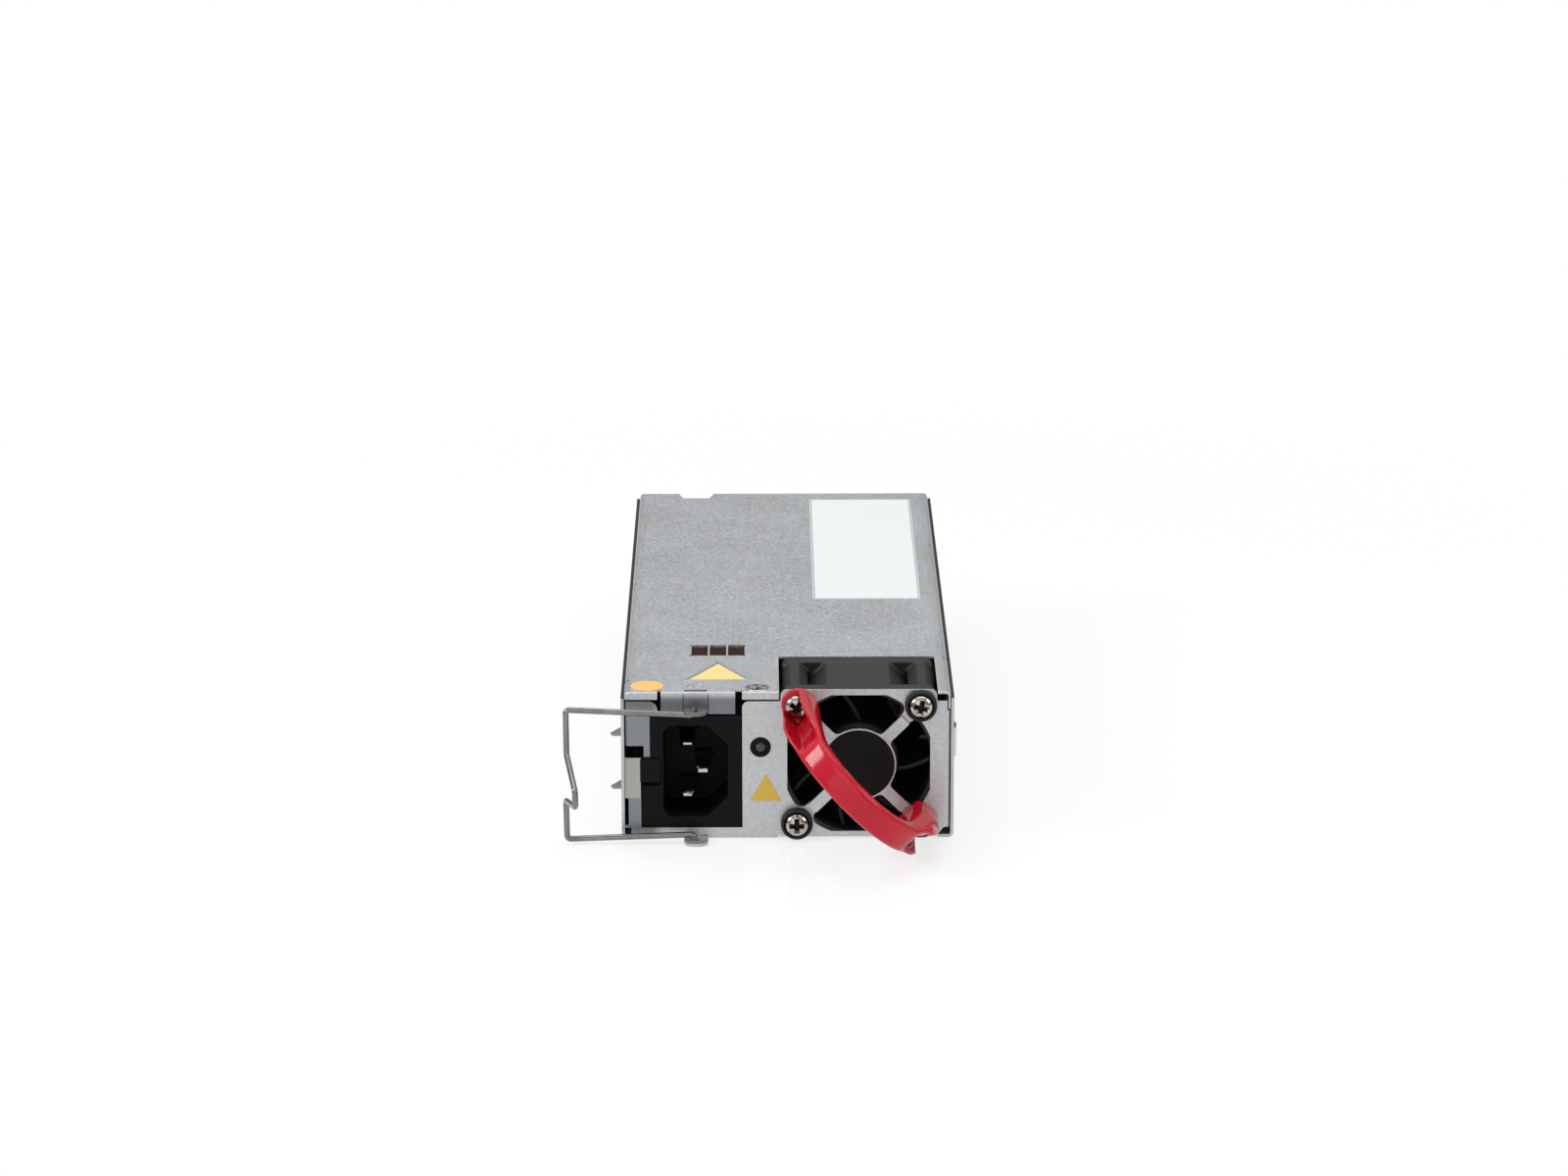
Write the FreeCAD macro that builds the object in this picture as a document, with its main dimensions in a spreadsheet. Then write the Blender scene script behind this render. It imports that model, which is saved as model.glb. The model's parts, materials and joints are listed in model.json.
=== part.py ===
import FreeCAD, Part

import math
import os

import Sketcher
from FreeCAD import Vector

# A hot swap server power supply: a flat steel case with a mains inlet, a guarded fan,
# a strap handle, a side latch and a wire bail at the front, and an edge connector at the back.
# Millimetres. X runs to the right, Y from the front face to the back, Z up.
# Sub-parts are drawn with Y = 0 at the front face. Their Placement then moves the origin
# to the middle of the underside.

SIZES = {
    # case
    "case_w": 86.1, "case_len": 194.0, "cover_top": 39.7, "wall_top": 38.2,
    "tray_sheet": 0.8, "cover_sheet": 0.6, "panel_sheet": 0.8, "gap": 0.1, "bend": 0.6,
    "flange_deep": 4.6, "tray_front": 0.3,
    # front panel
    "panel_top": 37.2, "panel_flange": 9.0, "column_right": -35.6,
    "shoulder_left": -11.7, "head_right": -33.6,
    # fan
    "fan_size": 40.0, "fan_depth": 28.0, "fan_x": 18.4, "fan_z": 20.3, "hole_pitch": 32.0,
    "flange_thick": 4.2, "duct_bore": 37.6, "duct_wall": 0.9, "fan_hole_r": 1.8,
    "guard_bore": 39.6, "guard_flat": 18.5, "guard_hub": 19.4, "spoke_w": 3.0, "emboss": 1.0,
    "emboss_r": 16.2,
    "rotor_r": 10.5, "rotor_len": 21.0, "rotor_wall": 1.3, "blade_tip_r": 18.3, "blade_t": 0.9,
    "blade_count": 7, "shaft_r": 1.0, "run_gap": 0.05,
    # screws
    "head_r": 3.1, "head_high": 2.2, "shank_r": 1.7, "screw_len": 9.0, "washer_r": 4.15,
    "seat": 1.5, "washer_high": 2.5,
    # handle
    "strap_w": 8.8, "strap_thick": 3.5, "bow": 34.5, "strap_off": 0.45, "cup_end": 4.3,
    # inlet
    "inlet_left": -37.85, "inlet_right": -11.85, "inlet_low": 3.0, "inlet_top": 33.3,
    "cavity_left": -32.1, "cavity_right": -15.5, "cavity_low": 5.9, "cavity_top": 30.6,
    "cavity_deep": 15.5, "inlet_deep": 21.0, "pin_w": 4.0, "pin_t": 2.0, "pin_pitch": 14.0,
    "pin_x": -25.9, "earth_offset": 4.0,
    # bail
    "bail_x": -23.9, "bail_y": -3.6, "wire_r": 0.78, "bail_reach": 33.4, "leg_low": 2.6,
    "leg_spread": 2.1, "crook_out": 12.5, "ear_left": -26.8, "ear_right": -20.6,
    "top_ear_z": 35.9, "ear_reach": 6.9,
    # latch
    "leaf_t": 0.45, "leaf_root": 98.0, "barb_front": 12.0, "barb_len": 9.0, "barb_out": 3.1,
    "barb_low": 9.5, "barb_high": 24.0, "tab_low": 11.2, "tab_high": 22.2, "tab_right": -38.0,
    # inside
    "board_z": 4.4, "board_t": 1.6, "board_front": 32.0, "tongue": 8.5, "tongue_w": 58.0,
}


class Size:
    """A number that carries the sheet formula it came from."""

    def __init__(self, value, formula):
        self.value = float(value)
        self.formula = formula

    def __add__(self, other):
        other = size(other)
        return Size(self.value + other.value, f"({self.formula} + {other.formula})")

    def __sub__(self, other):
        other = size(other)
        return Size(self.value - other.value, f"({self.formula} - {other.formula})")

    def __mul__(self, other):
        other = size(other)
        return Size(self.value * other.value, f"({self.formula} * {other.formula})")

    def __truediv__(self, other):
        other = size(other)
        return Size(self.value / other.value, f"({self.formula} / {other.formula})")

    def __radd__(self, other):
        return size(other) + self

    def __rsub__(self, other):
        return size(other) - self

    def __rmul__(self, other):
        return size(other) * self

    def __neg__(self):
        return size(0) - self


def size(thing):
    """Any number as a Size."""
    if isinstance(thing, Size):
        return thing
    return Size(thing, f"({float(thing):.6f})")


def degrees(number):
    """An angle."""
    return Size(number, f"{float(number):.6f} deg")


def turn(function, angle):
    """cos, sin or tan of an angle, or asin of a ratio."""
    if function == "asin":
        value = math.degrees(math.asin(angle.value))
    else:
        value = getattr(math, function)(math.radians(angle.value))
    return Size(value, f"{function}({angle.formula})")


def root(square):
    """Square root of a size."""
    square = size(square)
    return Size(math.sqrt(square.value), f"sqrt({square.formula})")


doc = FreeCAD.newDocument("PowerSupply")
sheet = doc.addObject("Spreadsheet::Sheet", "Sizes")
for row, (alias, value) in enumerate(SIZES.items(), start=1):
    sheet.set(f"A{row}", alias)
    sheet.set(f"B{row}", str(value))
    sheet.setAlias(f"B{row}", alias)
doc.recompute()


class Named:
    """Named sizes, read from the sheet."""

    def __getattr__(self, alias):
        return Size(sheet.get(alias), f"Sizes.{alias}")


S = Named()
nodes = []


def bind(thing, path, value):
    """Set a property through a formula on the sheet."""
    thing.setExpression(path, size(value).formula)


def node(thing, label):
    """Register a finished sub-part and move it to the model's origin."""
    if thing.TypeId in ("Part::Box", "Part::Cylinder"):
        thing = group(thing)
    thing.Label = label
    bind(thing, "Placement.Base.y", -S.case_len / 2)
    nodes.append(thing)
    return thing


# ---------------------------------------------------------------- sketches and features

def rect(x0, x1, y0, y1):
    """A rectangle's corners."""
    return [(x0, y0), (x1, y0), (x1, y1), (x0, y1)]


def disc(x, y, radius):
    """A circle for a sketch."""
    return ("disc", x, y, radius)


def new_sketch(body, role, height, outlines):
    """A sketch on one of the body's origin planes, at a height along the plane's normal."""
    sketch = body.newObject("Sketcher::SketchObject", "Sketch")
    plane = next(part for part in body.Origin.OriginFeatures if part.Role == role)
    sketch.AttachmentSupport = [(plane, "")]
    sketch.MapMode = "FlatFace"
    bind(sketch, "AttachmentOffset.Base.z", height)
    for outline in outlines:
        if outline[0] == "disc":
            draw_disc(sketch, *outline[1:])
        else:
            draw_outline(sketch, outline)
    return sketch


def pin_point(sketch, geo, end, x, y):
    """Tie one point of a sketch to two sizes."""
    for kind, value in (("DistanceX", size(x)), ("DistanceY", size(y))):
        index = sketch.addConstraint(Sketcher.Constraint(kind, geo, end, value.value))
        bind(sketch, f"Constraints[{index}]", value)


def draw_disc(sketch, x, y, radius):
    """A circle tied to its centre and radius."""
    x, y, radius = size(x), size(y), size(radius)
    geo = sketch.addGeometry(
        Part.Circle(Vector(x.value, y.value, 0), Vector(0, 0, 1), radius.value), False)
    index = sketch.addConstraint(Sketcher.Constraint("Radius", geo, radius.value))
    bind(sketch, f"Constraints[{index}]", radius)
    pin_point(sketch, geo, 3, x, y)


def draw_outline(sketch, points):
    """A closed outline of straight edges and arcs, each corner tied to the sheet.

    A corner given as (x, y) starts a straight edge. A corner given as (x, y, cx, cy, way)
    starts an arc about (cx, cy), with way 1 for anticlockwise and -1 for clockwise.
    """
    corners = [(size(p[0]), size(p[1])) for p in points]
    first = None
    for index, point in enumerate(points):
        x0, y0 = corners[index]
        x1, y1 = corners[(index + 1) % len(points)]
        if len(point) == 2:
            geo = sketch.addGeometry(Part.LineSegment(
                Vector(x0.value, y0.value, 0), Vector(x1.value, y1.value, 0)), False)
            start, end = 1, 2
        else:
            cx, cy, way = size(point[2]), size(point[3]), point[4]
            a0 = math.atan2(y0.value - cy.value, x0.value - cx.value)
            a1 = math.atan2(y1.value - cy.value, x1.value - cx.value)
            if way < 0:
                a0, a1 = a1, a0
            radius = math.hypot(x0.value - cx.value, y0.value - cy.value)
            circle = Part.Circle(Vector(cx.value, cy.value, 0), Vector(0, 0, 1), radius)
            geo = sketch.addGeometry(Part.ArcOfCircle(circle, a0, a1), False)
            start, end = (1, 2) if way > 0 else (2, 1)
            index_r = sketch.addConstraint(Sketcher.Constraint("Radius", geo, radius))
            if len(point) > 5:
                bind(sketch, f"Constraints[{index_r}]", point[5])
        pin_point(sketch, geo, start, x0, y0)
        if first is None:
            first = (geo, start)
        else:
            sketch.addConstraint(Sketcher.Constraint("Coincident", last[0], last[1], geo, start))
        last = (geo, end)
    sketch.addConstraint(Sketcher.Constraint("Coincident", last[0], last[1], first[0], first[1]))


def new_body(name):
    """An empty body."""
    return doc.addObject("PartDesign::Body", name)


PLANES = {"Z": ("XY_Plane", 1), "Y": ("XZ_Plane", -1), "X": ("YZ_Plane", 1)}


def add(body, axis, low, high, *outlines):
    """Pad outlines between two heights along X, Y or Z."""
    role, way = PLANES[axis]
    low, high = size(low), size(high)
    pad = body.newObject("PartDesign::Pad", "Pad")
    pad.Profile = new_sketch(body, role, low if way > 0 else -high, outlines)
    bind(pad, "Length", high - low)
    doc.recompute()
    return pad


def cut(body, axis, low, high, *outlines):
    """Pocket outlines between two heights along X, Y or Z."""
    role, way = PLANES[axis]
    low, high = size(low), size(high)
    before = body.Shape.Volume
    pocket = body.newObject("PartDesign::Pocket", "Pocket")
    pocket.Profile = new_sketch(body, role, high if way > 0 else -low, outlines)
    bind(pocket, "Length", high - low)
    doc.recompute()
    if body.Shape.Volume >= before:
        raise RuntimeError(f"{body.Name}: {pocket.Name} cuts nothing")
    return pocket


def revolve(body, feature, role, axis, outline):
    """Turn a half section about an axis of its sketch: V_Axis or H_Axis."""
    sketch = new_sketch(body, role, 0, [outline])
    turned = body.newObject(f"PartDesign::{feature}", feature)
    turned.Profile = sketch
    turned.ReferenceAxis = (sketch, [axis])
    turned.Angle = 360
    doc.recompute()
    return turned


def edges_along(shape, axis, places, reach=0.05):
    """Names of the straight edges that run along an axis through the given places."""
    keep = [i for i in range(3) if "XYZ"[i] != axis]
    found = []
    for number, edge in enumerate(shape.Edges, start=1):
        ends = [vertex.Point for vertex in edge.Vertexes]
        if len(ends) != 2 or edge.Curve.TypeId != "Part::GeomLine":
            continue
        if any(abs(ends[0][i] - ends[1][i]) > 1e-6 for i in keep):
            continue
        for place in places:
            if all(abs(ends[0][i] - size(p).value) < reach for i, p in zip(keep, place)):
                found.append(f"Edge{number}")
    return found


def round_off(body, kind, radius, axis, places):
    """Fillet or chamfer the edges along an axis at the given places."""
    shape = body.Tip.Shape
    edges = edges_along(shape, axis, places)
    if not edges:
        raise RuntimeError(f"{body.Name}: no edge to round along {axis}")
    base = body.Tip
    rounded = body.newObject(f"PartDesign::{kind}", kind)
    rounded.Base = (base, edges)
    bind(rounded, "Radius" if kind == "Fillet" else "Size", radius)
    doc.recompute()
    if rounded.Shape.isNull() or not rounded.Shape.isValid():
        raise RuntimeError(f"{body.Name}: {kind} failed along {axis} at {places}")
    return rounded


# ---------------------------------------------------------------- plain solids

def block(x, y, z, name="Block"):
    """A box between three pairs of sizes."""
    box = doc.addObject("Part::Box", name)
    for side, letter, (low, high) in zip(("Length", "Width", "Height"), "xyz", (x, y, z)):
        bind(box, side, size(high) - low)
        bind(box, f"Placement.Base.{letter}", low)
    return box


ALONG = {"X": (Vector(0, 1, 0), 90), "Y": (Vector(1, 0, 0), -90), "Z": (Vector(0, 0, 1), 0)}


def rod(axis, low, high, a, b, radius, name="Rod"):
    """A cylinder along an axis between two heights, centred on (a, b) of the other two."""
    bar = doc.addObject("Part::Cylinder", name)
    bind(bar, "Radius", radius)
    bind(bar, "Height", size(high) - low)
    place(bar, axis, low, a, b)
    return bar


def place(thing, axis, low, a, b):
    """Stand a turned shape on its axis at a height, centred on the other two."""
    direction, angle = ALONG[axis]
    thing.Placement = FreeCAD.Placement(Vector(), FreeCAD.Rotation(direction, angle))
    spots = {"X": (low, a, b), "Y": (a, low, b), "Z": (a, b, low)}[axis]
    for letter, spot in zip("xyz", spots):
        bind(thing, f"Placement.Base.{letter}", spot)
    return thing


def less(base, *tools):
    """A solid with others cut away."""
    for tool in tools:
        result = doc.addObject("Part::Cut", "Cut")
        result.Base = base
        result.Tool = tool
        base = result
    return base


def joined(*shapes):
    """One solid made of several that touch."""
    result = doc.addObject("Part::MultiFuse", "Fuse")
    result.Shapes = list(shapes)
    return result


def group(*shapes):
    """Separate solids that share a node."""
    result = doc.addObject("Part::Compound", "Group")
    result.Links = list(shapes)
    return result


def tube(axis, low, high, a, b, outer, inner):
    """A ring or sleeve."""
    return less(rod(axis, low, high, a, b, outer), rod(axis, low, high, a, b, inner))


# ---------------------------------------------------------------- shared places

HALF = S.case_w / 2
INNER = HALF - S.tray_sheet
SIDE = INNER - S.gap
FAN_LEFT = S.fan_x - S.fan_size / 2
FAN_RIGHT = S.fan_x + S.fan_size / 2
FAN_TOP = S.fan_z + S.fan_size / 2
FAN_LOW = S.fan_z - S.fan_size / 2
FAN_FRONT = S.panel_sheet
FAN_REAR = FAN_FRONT + S.fan_depth
BOLT = S.hole_pitch / 2
FAN_HOLES = [(S.fan_x - BOLT, S.fan_z + BOLT), (S.fan_x + BOLT, S.fan_z - BOLT),
             (S.fan_x + BOLT, S.fan_z + BOLT), (S.fan_x - BOLT, S.fan_z - BOLT)]
LEAF_OUT = -SIDE
LEAF_IN = LEAF_OUT + S.leaf_t
WIRE_HOLE = S.wire_r + S.run_gap
LEG_HIGH = S.top_ear_z - S.cover_sheet - S.wire_r - 0.22
PANEL_FLOOR = S.tray_sheet + S.gap
SLOT_LOW = S.barb_low - 0.9
SLOT_HIGH = S.barb_high + 1.2
PIN_Z = (S.cavity_low + S.cavity_top) / 2
BOARD_TOP = S.board_z + S.board_t
FILM_TOP = S.cover_top - S.cover_sheet


# ---------------------------------------------------------------- steel case

def chassis_tray():
    """U-shaped floor and side walls, folded from one sheet."""
    body = new_body("ChassisTray")
    floor = S.tray_sheet
    add(body, "Y", S.tray_front, S.case_len, [
        (-HALF, 0), (HALF, 0), (HALF, S.wall_top), (INNER, S.wall_top), (INNER, floor),
        (-INNER, floor), (-INNER, S.wall_top), (-HALF, S.wall_top)])
    round_off(body, "Fillet", S.bend, "Y", [(-INNER, floor), (INNER, floor)])
    round_off(body, "Fillet", S.bend + S.tray_sheet, "Y", [(-HALF, 0), (HALF, 0)])
    cut(body, "Z", -1, floor + 0.5, rect(FAN_LEFT - 0.8, FAN_RIGHT + 0.6, -1, FAN_REAR + 2.2))
    ear = add(body, "Z", 0, floor, rect(S.ear_left, S.ear_right, -S.ear_reach, S.tray_front + 1))
    round_off(body, "Fillet", 2.6, "Z", [(S.ear_left, -S.ear_reach), (S.ear_right, -S.ear_reach)])
    cut(body, "Z", -1, floor + 0.5, disc(S.bail_x, S.bail_y, WIRE_HOLE))
    for height in (S.barb_low, S.barb_high):
        cut(body, "X", -HALF - 1, -INNER + 1, rect(
            S.barb_front - 0.8, S.barb_front + S.barb_len + 0.8, height - 0.5,
            height + S.leaf_t + 0.5))
    for height in (14, 19):
        cut(body, "X", -HALF - 1, -INNER + 1, disc(S.leaf_root, height, 1.05))
    cut(body, "X", INNER - 1, HALF + 1, rect(12.5, 27.5, 16, 25))
    for spot in BOARD_SCREWS:
        cut(body, "Z", -1, floor + 0.5, disc(spot[0], spot[1], 1.3))
    return node(body, "chassis_tray")


BOARD_SCREWS = [(-36, S.board_front + 4), (36, S.board_front + 4),
                (-36, S.case_len - 14), (36, S.case_len - 14)]


def rear_panel():
    """Perforated end plate with an opening for the edge connector."""
    body = new_body("RearPanel")
    top = FILM_TOP - S.gap
    low = S.tray_sheet
    add(body, "Y", S.case_len - S.panel_sheet, S.case_len, [
        (0.6 - SIDE, low), (SIDE - 0.6, low), (SIDE, low + 0.6), (SIDE, S.cover_top - S.flange_deep - 0.4),
        (SIDE - 0.7, S.cover_top - S.flange_deep - 0.4), (SIDE - 0.7, top - 0.6), (SIDE - 1.3, top),
        (1.3 - SIDE, top), (0.7 - SIDE, top - 0.6), (0.7 - SIDE, S.cover_top - S.flange_deep - 0.4),
        (-SIDE, S.cover_top - S.flange_deep - 0.4), (-SIDE, low + 0.6)])
    for side in (-1, 1):
        edge = SIDE * side
        inward = edge - S.panel_sheet * side
        low_x, high_x = (edge, inward) if side < 0 else (inward, edge)
        add(body, "Y", S.case_len - 10, S.case_len,
            rect(low_x, high_x, low + 1.5, S.cover_top - S.flange_deep - 0.4))
    cut(body, "Y", S.case_len - 2, S.case_len + 1, rect(
        -S.tongue_w / 2 - 1.5, S.tongue_w / 2 + 1.5, S.board_z - 1.5, BOARD_TOP + 3.5))
    cut(body, "Y", S.case_len - 6, S.case_len + 1, rect(-31, -20, top - 6, top + 1))
    pitch = size(6.4)
    across = size(5.2)
    columns, rows = 12, 3
    first_x = -pitch * (columns - 1) / 2
    first_z = size(14.5)
    reach = across / turn("cos", degrees(30)) / 2
    hexagon = [(first_x + reach * round(math.cos(math.radians(60 * i + 30)), 6),
                first_z + reach * round(math.sin(math.radians(60 * i + 30)), 6)) for i in range(6)]
    hole = cut(body, "Y", S.case_len - 2, S.case_len + 1, hexagon)
    grid = body.newObject("PartDesign::MultiTransform", "VentGrid")
    grid.Originals = [hole]
    steps = []
    for direction, count in (("H_Axis", columns), ("V_Axis", rows)):
        line = body.newObject("PartDesign::LinearPattern", "VentRow")
        line.Direction = (hole.Profile[0], [direction])
        line.Occurrences = count
        bind(line, "Length", pitch * (count - 1))
        steps.append(line)
    grid.Transformations = steps
    body.Tip = grid
    doc.recompute()
    return node(body, "rear_panel")


def front_panel():
    """Front face with the stamped fan guard, folded back at its side and floor."""
    body = new_body("FrontPanel")
    sheet_t = S.panel_sheet
    fan_step = FAN_LEFT - 0.5
    ledge = S.cover_top - S.flange_deep - 0.5
    relief = size(2.9)
    relief_in = size(1.6)
    column = size(-41.2)
    add(body, "Y", 0, sheet_t, [
        (-SIDE, relief), (relief_in - SIDE, relief), (relief_in - SIDE, PANEL_FLOOR),
        (fan_step, PANEL_FLOOR), (fan_step, 0.4), (FAN_RIGHT + 0.1, 0.4),
        (SIDE - relief_in, relief), (SIDE, relief), (SIDE, ledge),
        (SIDE - 0.9, ledge), (SIDE - 0.9, S.panel_top), (FAN_RIGHT + 0.2, S.panel_top),
        (FAN_RIGHT + 0.2, FAN_TOP - 0.1), (FAN_LEFT - 0.2, FAN_TOP - 0.1),
        (FAN_LEFT - 0.2, S.panel_top), (S.shoulder_left, S.panel_top),
        (S.shoulder_left, S.inlet_low - S.gap), (S.inlet_left - S.gap, S.inlet_low - S.gap),
        (S.inlet_left - S.gap, S.tab_low - 0.2), (column, S.tab_low - 0.2), (column, relief + 0.7),
        (-SIDE, relief + 0.7)])
    add(body, "Y", 0, S.panel_flange, rect(SIDE - sheet_t, SIDE, relief, ledge))
    add(body, "Y", 0, S.panel_flange, rect(-36, fan_step, PANEL_FLOOR, PANEL_FLOOR + sheet_t))
    round_off(body, "Fillet", S.bend, "Z", [(SIDE - sheet_t, sheet_t)])
    round_off(body, "Fillet", S.bend + sheet_t, "Z", [(SIDE, 0)])
    round_off(body, "Fillet", 1.8, "Y", [(S.shoulder_left, S.panel_top)])
    round_off(body, "Fillet", 1.6, "Y", [(FAN_RIGHT + 0.2, FAN_TOP - 0.1),
                                         (FAN_LEFT - 0.2, FAN_TOP - 0.1)])
    fan_guard(body)
    for x, z in FAN_HOLES:
        cut(body, "Y", -1, sheet_t + 1, disc(x, z, S.fan_hole_r + 0.2))
    cut(body, "Y", -1, sheet_t + 1, disc(LED_X, LED_Z, LED_R))
    return node(body, "front_panel")


LED_X, LED_Z, LED_R = size(-7.0), size(24.8), size(2.2)


def fan_guard(body):
    """Press a round dish forward, then punch four windows that leave a hub and spokes."""
    sheet_t = S.panel_sheet
    wall = S.emboss_r + sheet_t
    add(body, "Y", -S.emboss, sheet_t, disc(S.fan_x, S.fan_z, wall))
    cut(body, "Y", sheet_t - S.emboss, sheet_t + 1, disc(S.fan_x, S.fan_z, S.emboss_r))
    inner, outer = S.guard_hub / 2, S.guard_bore / 2
    half_spoke = S.spoke_w / 2
    near = degrees(45) - turn("asin", half_spoke / inner)
    far = degrees(45) - turn("asin", half_spoke / outer)
    flat = degrees(90) - turn("asin", S.guard_flat / outer)
    for quarter in range(4):
        middle = degrees(90 * quarter)
        c = []
        for radius, angle in ((inner, middle - near), (outer, middle - far),
                              (outer, middle - flat), (outer, middle + flat),
                              (outer, middle + far), (inner, middle + near)):
            c.append((S.fan_x + radius * turn("cos", angle),
                      S.fan_z + radius * turn("sin", angle)))
        round_hole = (S.fan_x, S.fan_z, 1, outer)
        cut(body, "Y", -S.emboss - 1, sheet_t + 1, [
            c[0], c[1] + round_hole, c[2], c[3] + round_hole, c[4],
            c[5] + (S.fan_x, S.fan_z, -1, inner)])
        round_off(body, "Fillet", 1.5, "Y", [c[0], c[5]])
        round_off(body, "Fillet", 2.2, "Y", [c[1], c[4]])


def left_bracket():
    """Corner piece beside the inlet, folded back along the left wall."""
    body = new_body("LeftBracket")
    sheet_t = S.panel_sheet
    low = SLOT_HIGH
    strip = size(-37.2)
    top = S.panel_top
    add(body, "Y", 0, sheet_t, [
        (-SIDE, low), (strip, low), (strip, S.tab_high), (S.column_right, S.tab_high),
        (S.column_right, S.inlet_top + S.gap), (S.head_right, S.inlet_top + S.gap),
        (S.head_right, top), (-SIDE, top)])
    add(body, "Y", 0, S.panel_flange, rect(-SIDE, -SIDE + sheet_t, low, top))
    round_off(body, "Fillet", S.bend, "Z", [(-SIDE + sheet_t, sheet_t)])
    round_off(body, "Fillet", S.bend + sheet_t, "Z", [(-SIDE, 0)])
    round_off(body, "Fillet", 2.4, "Y", [(S.head_right, top)])
    return node(body, "left_bracket")


def top_cover():
    """Lid with folded sides, a front lip with two long tabs and the upper bail ear."""
    body = new_body("TopCover")
    top, sheet_t = S.cover_top, S.cover_sheet
    low = top - S.flange_deep
    lip = size(37.7)
    tab = S.inlet_top + 0.5
    inner = SIDE - sheet_t
    edge = sheet_t * 0.8
    add(body, "Y", 0, S.case_len, [
        (-SIDE, low), (-inner, low), (-inner, top - sheet_t), (inner, top - sheet_t),
        (inner, low), (SIDE, low), (SIDE, top), (-SIDE, top)])
    round_off(body, "Fillet", S.bend + sheet_t, "Y", [(-SIDE, top), (SIDE, top)])
    round_off(body, "Fillet", S.bend, "Y", [(-inner, top - sheet_t), (inner, top - sheet_t)])
    round_off(body, "Fillet", edge, "X", [(0, top)])
    for low_x, high_x, low_z in (
            (-inner, S.head_right, lip), (S.head_right + 0.9, S.ear_left - 0.2, tab),
            (S.ear_left, S.ear_right, S.top_ear_z), (S.ear_right + 0.2, S.shoulder_left - 1.8, tab),
            (S.shoulder_left, FAN_LEFT - 0.6, lip)):
        add(body, "Y", 0, sheet_t, rect(low_x, high_x, low_z, top - edge))
    add(body, "Z", S.top_ear_z - sheet_t, S.top_ear_z,
        rect(S.ear_left, S.ear_right, -S.ear_reach, sheet_t))
    round_off(body, "Fillet", 2.6, "Z", [(S.ear_left, -S.ear_reach), (S.ear_right, -S.ear_reach)])
    cut(body, "Z", low - 1, top + 1, rect(S.head_right, S.head_right + 0.9, -1, 2.4))
    cut(body, "Z", low - 1, top + 1, rect(S.shoulder_left - 1.8, S.shoulder_left, -1, 2.4))
    cut(body, "Z", low - 4, top + 1, rect(FAN_LEFT - 0.6, FAN_RIGHT + 0.4, -1, FAN_REAR + 2.2))
    cut(body, "Z", S.top_ear_z - 2, S.top_ear_z + 1, disc(S.bail_x, S.bail_y, WIRE_HOLE))
    cut(body, "Z", top - 2, top + 1, rect(S.ear_left + 0.1, S.ear_right - 0.1, 0.8, 2.2))
    cut(body, "Z", top - 0.2, top + 1, disc(-23.8, 5.3, 2.2))
    cut(body, "Z", top - 0.4, top + 1, disc(-23.8, 5.3, 0.9))
    cut(body, "Z", low - 1, lip, rect(-SIDE - 1, sheet_t * 2 - SIDE, -1, S.panel_flange + 1.5))
    window = size(4.35)
    for index in range(3):
        left = size(-25.2) + (window + 0.5) * index
        cut(body, "Z", top - 2, top + 1, rect(left, left + window, 32.2, 41.7))
    for x in (-25.45, -11.25):
        for y in (32.3, 41.6):
            cut(body, "Z", top - 2, top + 1, rect(x - 0.3, x + 0.3, y - 0.35, y + 0.35))
    cut(body, "Z", top - 0.25, top + 1, triangle(TOP_SIGN, 1.2))
    cut(body, "Z", top - 2, top + 1, disc(COVER_SCREW[0], COVER_SCREW[1], 1.7))
    cut(body, "Z", top - 0.35, top + 1, disc(COVER_SCREW[0], COVER_SCREW[1], 3.2))
    cut(body, "Z", top - 2, top + 1, [
        (-31, S.case_len + 1), (-29.4, S.case_len - 5), (-21.8, S.case_len - 5),
        (-20.3, S.case_len + 1)])
    for side, spots in ((-1, (10.5, 99.6)), (1, (29.9, 138.4))):
        for spot in spots:
            nick = (-SIDE, 1.4 - SIDE) if side < 0 else (SIDE - 1.4, SIDE)
            cut(body, "Z", low - 1, top + 1, rect(nick[0], nick[1], spot - 0.6, spot + 0.6))
    return node(body, "top_cover")


COVER_SCREW = (size(-7.8), size(3.9))
TOP_SIGN = (size(-18.1), size(11.4), size(14.4), size(13.6))
FRONT_SIGN = (size(-5.6), size(10.2), size(8.1), size(7.3))


def triangle(sign, spread):
    """A triangle on its base: middle of the base, width, height, grown by a margin."""
    x, y, width, high = sign
    margin = size(spread)
    return [(x - width / 2 - margin * 1.2, y - margin * 0.5),
            (x + width / 2 + margin * 1.2, y - margin * 0.5), (x, y + high + margin)]


def cover_insulator():
    """Brown film that lies against the underside of the lid."""
    film = block((-38, -3.5), (S.board_front, S.case_len - 6), (FILM_TOP - 0.2, FILM_TOP),
                 "CoverFilm")
    return node(film, "cover_insulator")


def cover_screw():
    """Countersunk screw that holds the lid to the front panel's flange."""
    x, y = COVER_SCREW
    top = S.cover_top
    body = new_body("CoverScrew")
    revolve(body, "Revolution", "XZ_Plane", "V_Axis", [
        (0, top - 4.5), (1.5, top - 4.5), (1.5, top - 1.3), (1.6, top - 0.35), (3.1, top - 0.3),
        (3.1, top + 0.05), (0, top + 0.05)])
    bind(body, "Placement.Base.x", x)
    thing = node(body, "cover_screw")
    bind(thing, "Placement.Base.y", y - S.case_len / 2)
    return thing


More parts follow.
